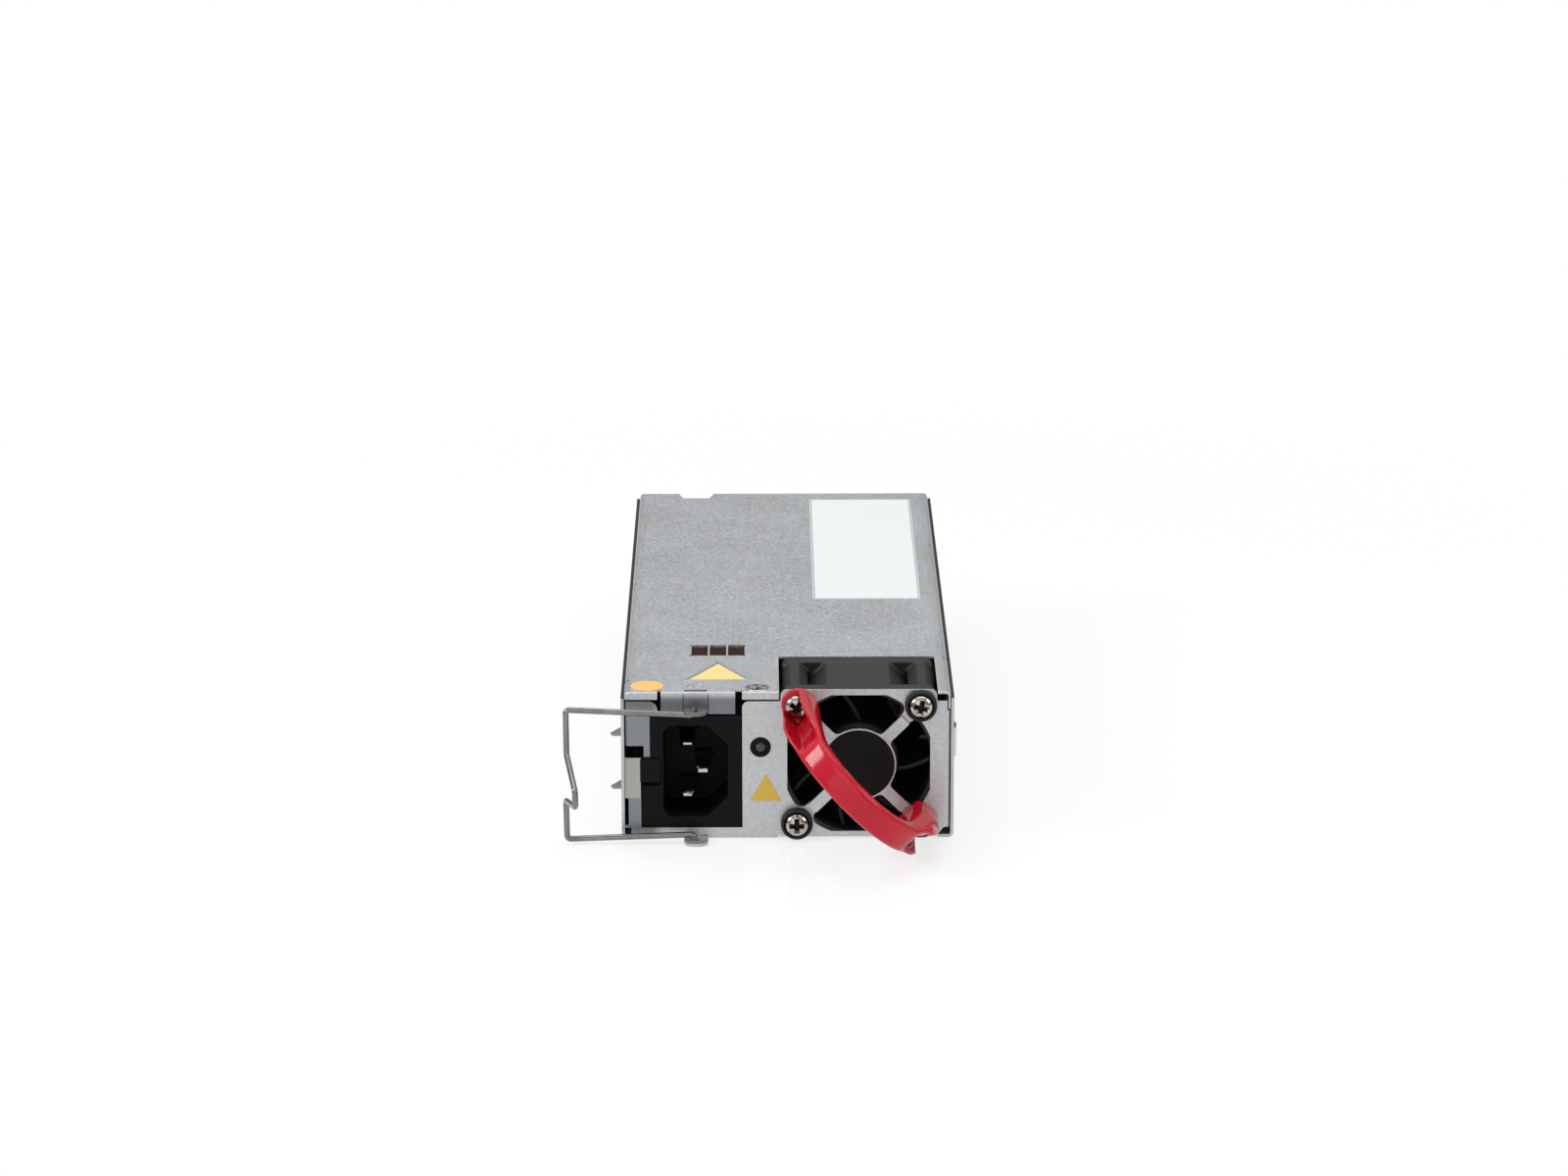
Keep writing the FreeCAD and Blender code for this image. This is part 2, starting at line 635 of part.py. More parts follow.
def ground_spring():
    """Bowed contact strip that stands through a window in the right wall."""
    body = new_body("GroundSpring")
    thick = size(0.3)
    base = INNER - thick
    half = size(6.5)
    rise = size(2.2)
    radius = (half * half + rise * rise) / (rise * 2)
    middle = size(20)
    centre = INNER + rise - radius
    inner_radius = radius - thick
    inner_half = root(inner_radius * rise * 2 - rise * rise)
    add(body, "Z", 16.6, 24.4, [
        (INNER, middle - half - 3), (INNER, middle - half, centre, middle, 1, radius),
        (INNER, middle + half), (INNER, middle + half + 3), (base, middle + half + 3),
        (base, middle + inner_half, centre, middle, -1, inner_radius),
        (base, middle - inner_half), (base, middle - half - 3)])
    return node(body, "ground_spring")


# ---------------------------------------------------------------- inlet and status light

def inlet_housing():
    """Mains inlet: a shrouded cavity with two cut corners, set in the panel's notch."""
    body = new_body("InletHousing")
    left, right, low, top = S.inlet_left, S.inlet_right, S.inlet_low, S.inlet_top
    shelf = S.tab_high - S.gap
    step = S.column_right + S.gap
    add(body, "Y", 0, 3, [
        (left, low), (right, low), (right, top), (step, top), (step, shelf), (left, shelf)])
    round_off(body, "Fillet", 1.2, "Y", [(left, low), (right, low)])
    lip = S.panel_sheet + 0.1
    add(body, "Y", lip, 3, [(left + 2, low - 1.1), (right + 1.2, low - 1.1), (right + 1.2, top), (left + 2, top)])
    add(body, "Y", 2, S.inlet_deep, rect(
        S.cavity_left - 1.6, S.cavity_right + 1.6, S.cavity_low - 1.6, S.cavity_top + 1.6))
    c_left, c_right, c_low, c_top = S.cavity_left, S.cavity_right, S.cavity_low, S.cavity_top
    cut(body, "Y", -1, S.cavity_deep, [
        (c_left + 1.6, c_low), (c_right - 5.3, c_low), (c_right, c_low + 5.1),
        (c_right, c_top - 5.1), (c_right - 5.3, c_top), (c_left + 1.6, c_top),
        (c_left, c_top - 1.6), (c_left, c_low + 1.6)])
    cut(body, "Y", -1, 0.8, rect(left - 0.5, left + 5.0, 14.5, 15.6))
    for groove in (left + 2.4, left + 4.7):
        cut(body, "Y", -1, 0.25, rect(groove, groove + 0.3, low + 0.4, 14.5))
    for x, z in PIN_SPOTS:
        cut(body, "Y", S.cavity_deep - 1, S.inlet_deep + 1, disc(x, z, 0.75))
        cut(body, "Y", S.cavity_deep - 1, S.cavity_deep + 2, rect(
            x - S.pin_w / 2 - 0.05, x + S.pin_w / 2 + 0.05, z - S.pin_t / 2 - 0.05, z + S.pin_t / 2 + 0.05))
    return node(body, "inlet_housing")


PIN_SPOTS = [(S.pin_x, PIN_Z + S.pin_pitch / 2), (S.pin_x, PIN_Z - S.pin_pitch / 2),
             (S.pin_x + S.earth_offset, PIN_Z)]


def inlet_pins():
    """Line, neutral and earth blades with round tails; earth stands furthest forward."""
    pins = []
    for (x, z), tip in zip(PIN_SPOTS, (1.6, 1.6, 0.6)):
        body = new_body("InletPin")
        half_w, half_t = S.pin_w / 2, S.pin_t / 2
        add(body, "Y", tip, S.cavity_deep + 2, rect(x - half_w, x + half_w, z - half_t, z + half_t))
        round_off(body, "Chamfer", 0.8, "Z", [(x - half_w, tip), (x + half_w, tip)])
        round_off(body, "Chamfer", 0.5, "X", [(tip, z - half_t), (tip, z + half_t)])
        add(body, "Y", S.cavity_deep, FILTER_Y + 3, disc(x, z, 0.7))
        pins.append(body)
    return node(group(*pins), "inlet_pins")


FILTER_Y = S.inlet_deep + 2.5


def filter_board():
    """Small upright board soldered to the inlet's tails."""
    plate = block((-35, -13), (FILTER_Y, FILTER_Y + 1.6), (BOARD_TOP, 31), "FilterPlate")
    holes = [rod("Y", FILTER_Y - 1, FILTER_Y + 3, x, z, 0.72, "TailHole") for x, z in PIN_SPOTS]
    return node(less(plate, *holes), "filter_board")


def filter_capacitors():
    """Two box capacitors on the back of the filter board."""
    y = FILTER_Y + 1.6
    boxes = [block((-34.5, -28.5), (y, y + 5), (low, low + 11), "SafetyCap") for low in (8, 19.5)]
    return node(group(*boxes), "filter_capacitors")


def status_light():
    """Bezel with a shoulder on the panel, and the light pipe inside it."""
    bezel = new_body("LightBezel")
    revolve(bezel, "Revolution", "YZ_Plane", "H_Axis", [
        (-0.5, 1.55), (-0.5, 2.3), (-0.1, 2.7), (0, 2.7), (0, LED_R - 0.05), (8, LED_R - 0.05),
        (8, 1.55)])
    lens = new_body("LightPipe")
    revolve(lens, "Revolution", "YZ_Plane", "H_Axis", [
        (-0.9, 0), (-0.75, 0.8), (-0.3, 1.35), (0, 1.5), (9, 1.5), (9, 0)])
    for body, label in ((bezel, "light_bezel"), (lens, "light_pipe")):
        bind(body, "Placement.Base.x", LED_X)
        bind(body, "Placement.Base.z", LED_Z)
        node(body, label)


def light_board():
    """Small board behind the panel that carries the status light."""
    board = block((-11.2, -2.6), (9.0, 10.2), (BOARD_TOP + 14, 30), "LightBoard")
    return node(board, "light_board")


# ---------------------------------------------------------------- fan

def at_fan(body, label):
    """Register a piece drawn about the fan's axis."""
    bind(body, "Placement.Base.x", S.fan_x)
    bind(body, "Placement.Base.z", S.fan_z)
    return node(body, label)


def fan_frame():
    """Square flanges, a round duct between them, corner posts and a motor base on struts."""
    body = new_body("FanFrame")
    half = S.fan_size / 2
    bore = S.duct_bore / 2
    duct = bore + S.duct_wall
    facet = duct * turn("tan", degrees(22.5))
    add(body, "Y", FAN_FRONT, FAN_FRONT + S.flange_thick, rect(-half, half, -half, half))
    add(body, "Y", FAN_REAR - S.flange_thick, FAN_REAR, rect(-half, half, -half, half))
    round_off(body, "Fillet", 2.6, "Y", [(x * half, z * half) for x in (-1, 1) for z in (-1, 1)])
    add(body, "Y", FAN_FRONT + 1, FAN_REAR - 1, [
        (facet, -duct), (duct, -facet), (duct, facet), (facet, duct), (-facet, duct),
        (-duct, facet), (-duct, -facet), (-facet, -duct)])
    face, wide, deep = half - 0.2, half - 4.6, half - 7.2
    for x in (-1, 1):
        for z in (-1, 1):
            post = [(face, wide), (face, half - 2.4), (half - 2.4, face), (wide, face),
                    (deep, wide + 1.8), (wide + 1.8, deep)]
            add(body, "Y", FAN_FRONT + 1, FAN_REAR - 1, [(a * x, b * z) for a, b in post])
    cut(body, "Y", FAN_FRONT - 1, FAN_REAR + 1, disc(0, 0, bore))
    base_r = S.rotor_r + 0.6
    add(body, "Y", FAN_REAR - 2.6, FAN_REAR - 0.2, disc(0, 0, base_r))
    reach = bore + 0.4
    for way in (1, -1):
        low, high = (base_r - 1, reach) if way > 0 else (-reach, 1 - base_r)
        add(body, "Y", FAN_REAR - 2.4, FAN_REAR - 0.4, rect(low, high, -0.9, 0.9))
        add(body, "Y", FAN_REAR - 2.4, FAN_REAR - 0.4, rect(-0.9, 0.9, low, high))
    add(body, "Y", TUBE_FRONT, FAN_REAR - 2, disc(0, 0, 3.4))
    cut(body, "Y", TUBE_FRONT - 1, FAN_REAR - 1.6, disc(0, 0, BEARING_R))
    for x in (-1, 1):
        for z in (-1, 1):
            cut(body, "Y", FAN_FRONT - 1, FAN_REAR + 1, disc(x * BOLT, z * BOLT, S.fan_hole_r))
    return at_fan(body, "fan_frame")


ROTOR_FRONT = FAN_FRONT + 1.2
ROTOR_REAR = ROTOR_FRONT + S.rotor_len
TUBE_FRONT = ROTOR_FRONT + S.rotor_wall + 3.0
BEARING_R = size(2.5)
CUP_R = S.rotor_r - S.rotor_wall


def fan_impeller():
    """Motor cup with twisted blades, each lofted from root to tip."""
    body = new_body("FanImpeller")
    front, rear, radius = ROTOR_FRONT, ROTOR_REAR, S.rotor_r
    revolve(body, "Revolution", "YZ_Plane", "H_Axis", [
        (front, 0), (front, radius - 1), (front + 1, radius), (rear, radius), (rear, CUP_R),
        (front + S.rotor_wall, CUP_R), (front + S.rotor_wall, 0)])
    middle = (front + rear) / 2 - 0.5
    sections = []
    for reach, pitch, chord in ((CUP_R + 0.4, 32, 17.0), (S.blade_tip_r + 0.5, 54, 15.5)):
        sections.append(new_sketch(body, "YZ_Plane", reach, [blade_outline(middle, pitch, chord)]))
    blade = body.newObject("PartDesign::AdditiveLoft", "Blade")
    blade.Profile = sections[0]
    blade.Sections = [sections[1]]
    doc.recompute()
    ring = body.newObject("PartDesign::PolarPattern", "BladeRing")
    ring.Originals = [blade]
    axis_y = next(part for part in body.Origin.OriginFeatures if part.Role == "Y_Axis")
    ring.Axis = (axis_y, [""])
    ring.Angle = 360
    bind(ring, "Occurrences", S.blade_count)
    body.Tip = ring
    doc.recompute()
    revolve(body, "Groove", "YZ_Plane", "H_Axis", rect(front - 6, rear + 6, S.blade_tip_r, 26))
    return at_fan(body, "fan_impeller")


def blade_outline(middle, pitch, chord):
    """A thin blade section, tilted from the fan's axis by its pitch."""
    half = size(chord) / 2
    thick = S.blade_t / 2
    along, across = turn("cos", degrees(pitch)), turn("sin", degrees(pitch))
    corners = []
    for x, y in ((-1, -0.35), (0.2, -1), (1, -0.3), (1, 0.3), (0.2, 1), (-1, 0.35)):
        corners.append((middle + half * x * along - thick * y * across,
                        half * x * across + thick * y * along))
    return corners


def fan_motor():
    """Yoke, magnet and shaft turn with the impeller; core, coils and board stay still."""
    front = ROTOR_FRONT + S.rotor_wall
    rear = ROTOR_REAR
    at_fan(tube("Y", front, rear, 0, 0, CUP_R, CUP_R - 0.5), "rotor_yoke")
    at_fan(tube("Y", front + 1.5, rear - 0.5, 0, 0, CUP_R - 0.5, CUP_R - 1.9), "rotor_magnet")
    shaft = rod("Y", front, FAN_REAR - 2.2, 0, 0, S.shaft_r, "Shaft")
    collar = rod("Y", front, front + 2.2, 0, 0, 2.2, "Collar")
    at_fan(joined(shaft, collar), "rotor_shaft")
    bore = S.shaft_r + S.run_gap
    bearings = [tube("Y", low, low + 2.6, 0, 0, BEARING_R, bore)
                for low in (TUBE_FRONT, FAN_REAR - 5.4)]
    at_fan(group(*bearings), "fan_bearings")
    tooth_r = CUP_R - 2.4
    core_low, core_high = TUBE_FRONT + 3, rear - 4
    ring = tube("Y", core_low, core_high, 0, 0, 4.4, 3.4)
    teeth = []
    for x, z in ((1, 0), (-1, 0), (0, 1), (0, -1)):
        lows = [size(4) if way > 0 else -tooth_r if way < 0 else size(-0.9) for way in (x, z)]
        highs = [tooth_r if way > 0 else size(-4) if way < 0 else size(0.9) for way in (x, z)]
        teeth.append(block((lows[0], highs[0]), (core_low, core_high), (lows[1], highs[1]), "Tooth"))
    at_fan(joined(ring, *teeth), "stator_core")
    coils = []
    for x, z in ((1, 0), (-1, 0), (0, 1), (0, -1)):
        lows = [size(4.5) if way > 0 else 0.3 - tooth_r if way < 0 else size(-1.9) for way in (x, z)]
        highs = [tooth_r - 0.3 if way > 0 else size(-4.5) if way < 0 else size(1.9) for way in (x, z)]
        outer = block((lows[0], highs[0]), (core_low - 1, core_high + 1), (lows[1], highs[1]), "Coil")
        thin_low = [low if way else size(-0.9) for low, way in zip(lows, (x, z))]
        thin_high = [high if way else size(0.9) for high, way in zip(highs, (x, z))]
        hollow = block((thin_low[0], thin_high[0]), (core_low, core_high),
                       (thin_low[1], thin_high[1]), "CoilHole")
        coils.append(less(outer, hollow))
    at_fan(group(*coils), "stator_coils")
    at_fan(tube("Y", FAN_REAR - 3.6, FAN_REAR - 2.6, 0, 0, 8.6, 3.5), "motor_board")


# ---------------------------------------------------------------- screws and handle

def fan_screws():
    """Four pan head screws that hold the fan, the handle and the bumpers."""
    screws = []
    for x, z in FAN_HOLES:
        body = new_body("FanScrew")
        face = -S.seat
        revolve(body, "Revolution", "YZ_Plane", "H_Axis", [
            (face - S.head_high, 0), (face - S.head_high, 1.2), (face - S.head_high + 0.35, 2.3),
            (face - S.head_high + 1.0, S.head_r), (face, S.head_r), (face, S.shank_r),
            (face + S.screw_len, S.shank_r), (face + S.screw_len, 0)])
        drive = size(0.45)
        for tilt in (rect(-1.8, 1.8, -drive, drive), rect(-drive, drive, -1.8, 1.8)):
            cut(body, "Y", face - S.head_high - 1, face - S.head_high + 1.2, tilt)
        bind(body, "Placement.Base.x", x)
        bind(body, "Placement.Base.z", z)
        screws.append(body)
    return node(group(*screws), "fan_screws")


def fan_bumpers():
    """Rubber rings round the two screws that the handle leaves free."""
    rings = []
    for x, z in FAN_HOLES[2:]:
        body = new_body("Bumper")
        revolve(body, "Revolution", "YZ_Plane", "H_Axis", [
            (0, S.shank_r + 0.1), (-S.seat, S.shank_r + 0.1), (-S.seat, S.head_r + 0.05),
            (-S.washer_high, S.head_r + 0.25), (-S.washer_high, S.washer_r - 0.5),
            (0.4 - S.washer_high, S.washer_r), (-0.3, S.washer_r), (0, S.washer_r - 0.3)])
        bind(body, "Placement.Base.x", x)
        bind(body, "Placement.Base.z", z)
        rings.append(body)
    return node(group(*rings), "fan_bumpers")


def strap_handle():
    """Bowed strap across two fan screws, with a deep screw cup at each end.

    Drawn with X along the strap from the upper screw, Y as on the model, Z across the strap.
    """
    body = new_body("StrapHandle")
    span = S.hole_pitch * root(2)
    half_w = S.strap_w / 2
    outer_x, outer_y = size(3.0), size(22.5)
    inner_x, inner_y = size(7.0), size(17.5)
    outer_r = arc_radius(span / 2 - outer_x, S.bow - outer_y)
    inner_r = arc_radius(span / 2 - inner_x, S.bow - S.strap_thick - inner_y)
    end = S.cup_end
    middle = span / 2
    flank = [(-end, 0), (-end, -3.0), (-2.6, -9.0), (-1.6, -15.5), (0.5, -19.8)]
    inside = [(inner_x, -inner_y), (5.4, -8.0), (5.0, 0)]
    add(body, "Z", S.strap_off - half_w, S.strap_off + half_w, flank + [
        (outer_x, -outer_y, middle, outer_r - S.bow, 1, outer_r), (span - outer_x, -outer_y),
        *[(span - x, y) for x, y in reversed(flank)], (span - 5.0, 0), (span - 5.4, -8.0),
        (span - inner_x, -inner_y, middle, inner_r - S.bow + S.strap_thick, -1, inner_r),
        *inside])
    low, high = S.strap_off - half_w, S.strap_off + half_w
    for tip, centre, sense in ((-end, half_w - end, 1), (span + end, span - half_w + end, -1)):
        for side, turn in ((low, -sense), (high, sense)):
            cut(body, "Y", -S.bow - 1, 1, [
                (tip, side), (centre, side, centre, S.strap_off, turn, half_w),
                (tip, S.strap_off)])
    mouth = S.head_r + 0.25
    for mirror in (False, True):
        pocket = [(-mouth - 1.5, -S.seat), (3.4, -S.seat), (3.7, -8.0), (4.6, -17.0),
                  (4.6, -S.bow), (-mouth - 1.5, -S.bow)]
        if mirror:
            pocket = [(span - x, y) for x, y in reversed(pocket)]
        cut(body, "Z", -mouth, mouth, pocket)
        x = span if mirror else size(0)
        cut(body, "Y", -S.seat - 1, 1, disc(x, 0, S.shank_r + 0.15))
    rotation = FreeCAD.Rotation(Vector(0, 1, 0), 45)
    body.Placement = FreeCAD.Placement(Vector(), rotation)
    bind(body, "Placement.Base.x", FAN_HOLES[0][0])
    bind(body, "Placement.Base.z", FAN_HOLES[0][1])
    return node(body, "strap_handle")


def arc_radius(half_chord, rise):
    """Radius of an arc from half its chord and its rise."""
    return (half_chord * half_chord + rise * rise) / (rise * 2)


# ---------------------------------------------------------------- bail and latch

def rounded_path(points, radii):
    """Straight runs joined by tangent arcs, as one wire."""
    spots = [Vector(*[size(c).value for c in point]) for point in points]
    edges = []
    start = spots[0]
    for before, corner, after, radius in zip(spots, spots[1:], spots[2:], radii):
        back = (before - corner).normalize()
        ahead = (after - corner).normalize()
        half_turn = (math.pi - back.getAngle(ahead)) / 2
        trim = radius * math.tan(half_turn)
        bisector = (back + ahead).normalize()
        centre = corner + bisector * (radius / math.cos(half_turn))
        enter = corner + back * trim
        leave = corner + ahead * trim
        edges.append(Part.LineSegment(start, enter).toShape())
        edges.append(Part.Arc(enter, centre - bisector * radius, leave).toShape())
        start = leave
    edges.append(Part.LineSegment(start, spots[-1]).toShape())
    return Part.Wire(edges)


def swept_rod(name, path, radius):
    """A round bar along a path: the path is set from the sheet's values."""
    spine = doc.addObject("Part::Feature", name + "Path")
    spine.Shape = path
    section = doc.addObject("Part::Circle", name + "Section")
    bind(section, "Radius", radius)
    first = path.OrderedEdges[0]
    heading = (first.lastVertex(True).Point - first.firstVertex(True).Point).normalize()
    section.Placement = FreeCAD.Placement(
        first.firstVertex(True).Point, FreeCAD.Rotation(Vector(0, 0, 1), heading))
    sweep = doc.addObject("Part::Sweep", name)
    sweep.Sections = [section]
    sweep.Spine = (spine, [f"Edge{i + 1}" for i in range(len(path.Edges))])
    sweep.Solid = True
    sweep.Frenet = False
    return sweep


def wire_bail():
    """Plug retaining bail: one bent wire, hooked into both ears, with a stepped nose."""
    x, y = S.bail_x, S.bail_y
    far = x - S.bail_reach
    nose_x, nose_y = far + 3.1, y - S.crook_out
    low = S.leg_low - S.leg_spread + 0.4
    high = LEG_HIGH + S.leg_spread
    path = rounded_path(
        [(x, y, 0.1), (x, y, S.leg_low), (far, y, low), (far, y, 12.0), (nose_x, nose_y, 12.6),
         (nose_x, nose_y, 21.6), (far, y, 27.9), (far, y, high), (x, y, LEG_HIGH),
         (x, y, S.top_ear_z + 0.8)],
        [1.3, 2.2, 1.6, 2.0, 2.4, 2.4, 2.2, 1.3])
    return node(swept_rod("WireBail", path, S.wire_r), "wire_bail")


def latch_spring():
    """Leaf along the left wall with two barbs and a release tab folded over the front."""
    body = new_body("LatchSpring")
    barb_end = S.barb_front + S.barb_len
    narrow_low, narrow_high = size(12.0), size(21.0)
    root_end = S.leaf_root + 1.6
    add(body, "X", LEAF_OUT, LEAF_IN, [
        (-0.75, S.tab_low), (S.barb_front - 2, S.tab_low), (S.barb_front - 1, S.barb_low),
        (barb_end + 1, S.barb_low), (barb_end + 4, narrow_low), (root_end, narrow_low),
        (root_end, narrow_high), (barb_end + 4, narrow_high),
        (barb_end + 1, S.barb_high + S.leaf_t), (S.barb_front - 1, S.barb_high + S.leaf_t),
        (S.barb_front - 2, S.tab_high), (-0.75, S.tab_high)])
    add(body, "Y", -0.75, S.leaf_t - 0.75, rect(LEAF_OUT, S.tab_right, S.tab_low, S.tab_high))
    round_off(body, "Fillet", 0.7, "Z", [(LEAF_OUT, -0.75)])
    tip = -HALF - S.barb_out
    for low in (S.barb_low, S.barb_high):
        add(body, "Z", low, low + S.leaf_t, [
            (LEAF_IN, S.barb_front), (LEAF_IN, barb_end), (LEAF_OUT, barb_end),
            (tip, S.barb_front + 1.6), (tip + 0.5, S.barb_front)])
    for height in (14, 19):
        cut(body, "X", LEAF_OUT - 1, LEAF_IN + 1, disc(S.leaf_root, height, 1.15))
    return node(body, "latch_spring")


def latch_rivets():
    """Two rivets that hold the leaf's root to the left wall."""
    rivets = []
    for height in (14, 19):
        shank = rod("X", -HALF, LEAF_IN + 0.2, S.leaf_root, height, 1.0, "RivetShank")
        head = rod("X", LEAF_IN + 0.12, LEAF_IN + 0.7, S.leaf_root, height, 1.8, "RivetHead")
        rivets.append(joined(shank, head))
    return node(group(*rivets), "latch_rivets")


# ---------------------------------------------------------------- electronics

def main_board():
    """Circuit board with a narrower tongue that leaves through the rear panel."""
    body = new_body("MainBoard")
    side = size(39.5)
    tongue = S.tongue_w / 2
    shoulder = S.case_len - 4
    end = S.case_len + S.tongue
    add(body, "Z", S.board_z, BOARD_TOP, [
        (-side, S.board_front), (side, S.board_front), (side, shoulder), (tongue, shoulder),
        (tongue, end - 1), (tongue - 1, end), (1 - tongue, end), (-tongue, end - 1),
        (-tongue, shoulder), (-side, shoulder)])
    for x, y in BOARD_SCREWS:
        cut(body, "Z", S.board_z - 1, BOARD_TOP + 1, disc(x, y, 1.65))
    cut(body, "Z", S.board_z - 1, BOARD_TOP + 1, rect(8, 9.6, end - 7, end + 1))
    return node(body, "main_board")


def edge_contacts():
    """Gold pads on both faces of the tongue."""
    pads = []
    thick = size(0.1)
    front, back = S.case_len + 0.6, S.case_len + S.tongue - 0.6
    for low in (BOARD_TOP, S.board_z - thick):
        for left, right in ((-28, -19), (-18.3, -9.3), (-8.6, 0.4), (10.5, 19.5), (20.2, 27.6)):
            pads.append(block((left, right), (front, back), (low, low + thick), "PowerPad"))
        for index in range(4):
            left = 1.6 + 1.5 * index
            pads.append(block((left, left + 1.0), (front, back), (low, low + thick), "SignalPad"))
    return node(group(*pads), "edge_contacts")


def board_standoffs():
    """Pillars between the floor and the board."""
    pillars = [tube("Z", S.tray_sheet, S.board_z, x, y, 2.6, 1.3) for x, y in BOARD_SCREWS]
    return node(group(*pillars), "board_standoffs")


def board_screws():
    """Screws that hold the board on its pillars."""
    screws = []
    for x, y in BOARD_SCREWS:
        shank = rod("Z", S.tray_sheet + 0.4, BOARD_TOP + 0.2, x, y, 1.25, "BoardShank")
        head = rod("Z", BOARD_TOP, BOARD_TOP + 1.8, x, y, 2.6, "BoardHead")
        screws.append(joined(shank, head))
    return node(group(*screws), "board_screws")


def inlet_leads():
    """Three bent leads from the filter board down to the main board."""
    leads = []
    start = FILTER_Y + 1.6
    for x, z in ((-16, 13.0), (-18.8, 15.0), (-24.6, 20.0)):
        y = start + 9 + (z - 13.0) * 0.9
        path = rounded_path([(x, start, z), (x, y, z), (x, y, BOARD_TOP)], [4.0])
        leads.append(swept_rod("InletLead", path, 0.9))
    return node(group(*leads), "inlet_leads")


def line_choke():
    """Toroidal filter choke lying on the board, with two windings."""
    x, y, low = size(-20), size(56), BOARD_TOP
    core = tube("Z", low + 2.0, low + 12.0, x, y, 12, 6.5)
    node(core, "choke_core")
    windings = []
    for side in (-1, 1):
        sleeve = tube("Z", low, low + 14.0, x, y, 13.6, 5.0)
        hollow = tube("Z", low + 1.95, low + 12.05, x, y, 12.05, 6.45)
        sector = block((x + 1.5, x + 20) if side > 0 else (x - 20, x - 1.5), (y - 20, y + 20),
                       (low - 1, low + 16), "WindingSector")
        both = doc.addObject("Part::MultiCommon", "WindingHalf")
        both.Shapes = [less(sleeve, hollow), sector]
        windings.append(both)
    node(group(*windings), "choke_windings")


def power_parts():
    """The tall parts on the board: capacitors, heatsinks, transformer, inductors."""
    low = BOARD_TOP
    cans = []
    for x in (size(-27.5), size(-4.0)):
        can = rod("Y", 76, 118, x, low + 11.2, 11.0, "BulkCan")
        cans.append(can)
    node(group(*cans), "bulk_capacitors")
    node(finned_sink(9.5, (40, 112)), "primary_heatsink")
    node(finned_sink(37.6, (40, 112)), "secondary_heatsink")
    x, y = size(2), size(146)
    leg_low, leg_high = low + 2, low + 26
    outer = block((x - 15, x + 15), (y - 12, y + 12), (leg_low, leg_high), "CoreBlock")
    windows = [block((x + a, x + b), (y - 13, y + 13), (leg_low + 5, leg_high - 5), "CoreWindow")
               for a, b in ((-10.5, -5), (5, 10.5))]
    node(less(outer, *windows), "transformer_core")
    coil = block((x - 10.4, x + 10.4), (y - 17.5, y + 17.5), (leg_low + 5.1, leg_high - 5.1), "CoilBlock")
    centre = block((x - 5.05, x + 5.05), (y - 12.05, y + 12.05), (leg_low, leg_high), "CoilCore")
    coil_solid = less(coil, centre)
    feet = [block((x - 10, x + 10), (y + way * 16.5 - 1, y + way * 16.5 + 1), (low, leg_low + 6), "CoilFoot")
            for way in (-1, 1)]
    node(joined(coil_solid, *feet), "transformer_coil")
    node(tube("Z", low, low + 16, 23.6, 60, 11.4, 4.5), "boost_inductor")
    node(tube("Z", low, low + 13, 25, 90, 9.5, 3.5), "output_inductor")
    caps = []
    for column in range(3):
        for row in range(2):
            caps.append(rod("Z", low, low + 16, size(26) + row * 8.6 - 3, size(130) + column * 9.2, 4.0,
                            "OutputCap"))
    node(group(*caps), "output_capacitors")
    node(block((-33, -31.4), (128, 176), (low, low + 24), "ControlPlate"), "control_board")
    node(block((-20, -8), (170, 182), (low, low + 15), "RelayBox"), "standby_transformer")
    node(block((15.5, 26.5), (36, 43.5), (low, low + 7), "PlugBox"), "fan_plug")
    node(block((-38.8, -34.3), (40, 62), (low, low + 5), "FuseBox"), "mains_fuse")


def finned_sink(x, span):
    """Upright plate with ribs along its length."""
    low = BOARD_TOP
    plate = block((size(x), size(x) + 1.6), span, (low, low + 28), "SinkPlate")
    ribs = [block((size(x) - 2.2, size(x) + 0.1), span, (low + z, low + z + 1.0), "SinkRib")
            for z in (8, 14, 20, 27)]
    return joined(plate, *ribs)


# ---------------------------------------------------------------- labels

def labels():
    """Blank adhesive labels. None of them carries words or signs."""
    thick = size(0.1)
    top = S.cover_top
    node(block((7.5, 36.8), (84.5, 187), (top, top + thick), "CoverLabel"), "cover_label")
    sign = new_body("TopSign")
    add(sign, "Z", top - 0.25, top - 0.1, triangle(TOP_SIGN, 0))
    node(sign, "top_triangle_label")
    front = new_body("FrontSign")
    add(front, "Y", -thick, 0, triangle(FRONT_SIGN, 0))
    node(front, "front_triangle_label")
    node(rod("Z", top, top + thick, -36.3, 5.4, 4.2, "RoundDot"), "orange_dot")
    node(rod("Y", -S.emboss - thick, -S.emboss, S.fan_x, S.fan_z, S.guard_hub / 2 - 0.4, "HubDisc"),
         "hub_label")


def build():
    """Make every sub-part in the order in which the supply is assembled."""
    chassis_tray()
    rear_panel()
    front_panel()
    left_bracket()
    top_cover()
    cover_insulator()
    cover_screw()
    ground_spring()
    inlet_housing()
    inlet_pins()
    filter_board()
    filter_capacitors()
    inlet_leads()
    status_light()
    light_board()
    fan_frame()
    fan_impeller()
    fan_motor()
    fan_screws()
    fan_bumpers()
    strap_handle()
    wire_bail()
    latch_spring()
    latch_rivets()
    main_board()
    edge_contacts()
    board_standoffs()
    board_screws()
    line_choke()
    power_parts()
    labels()


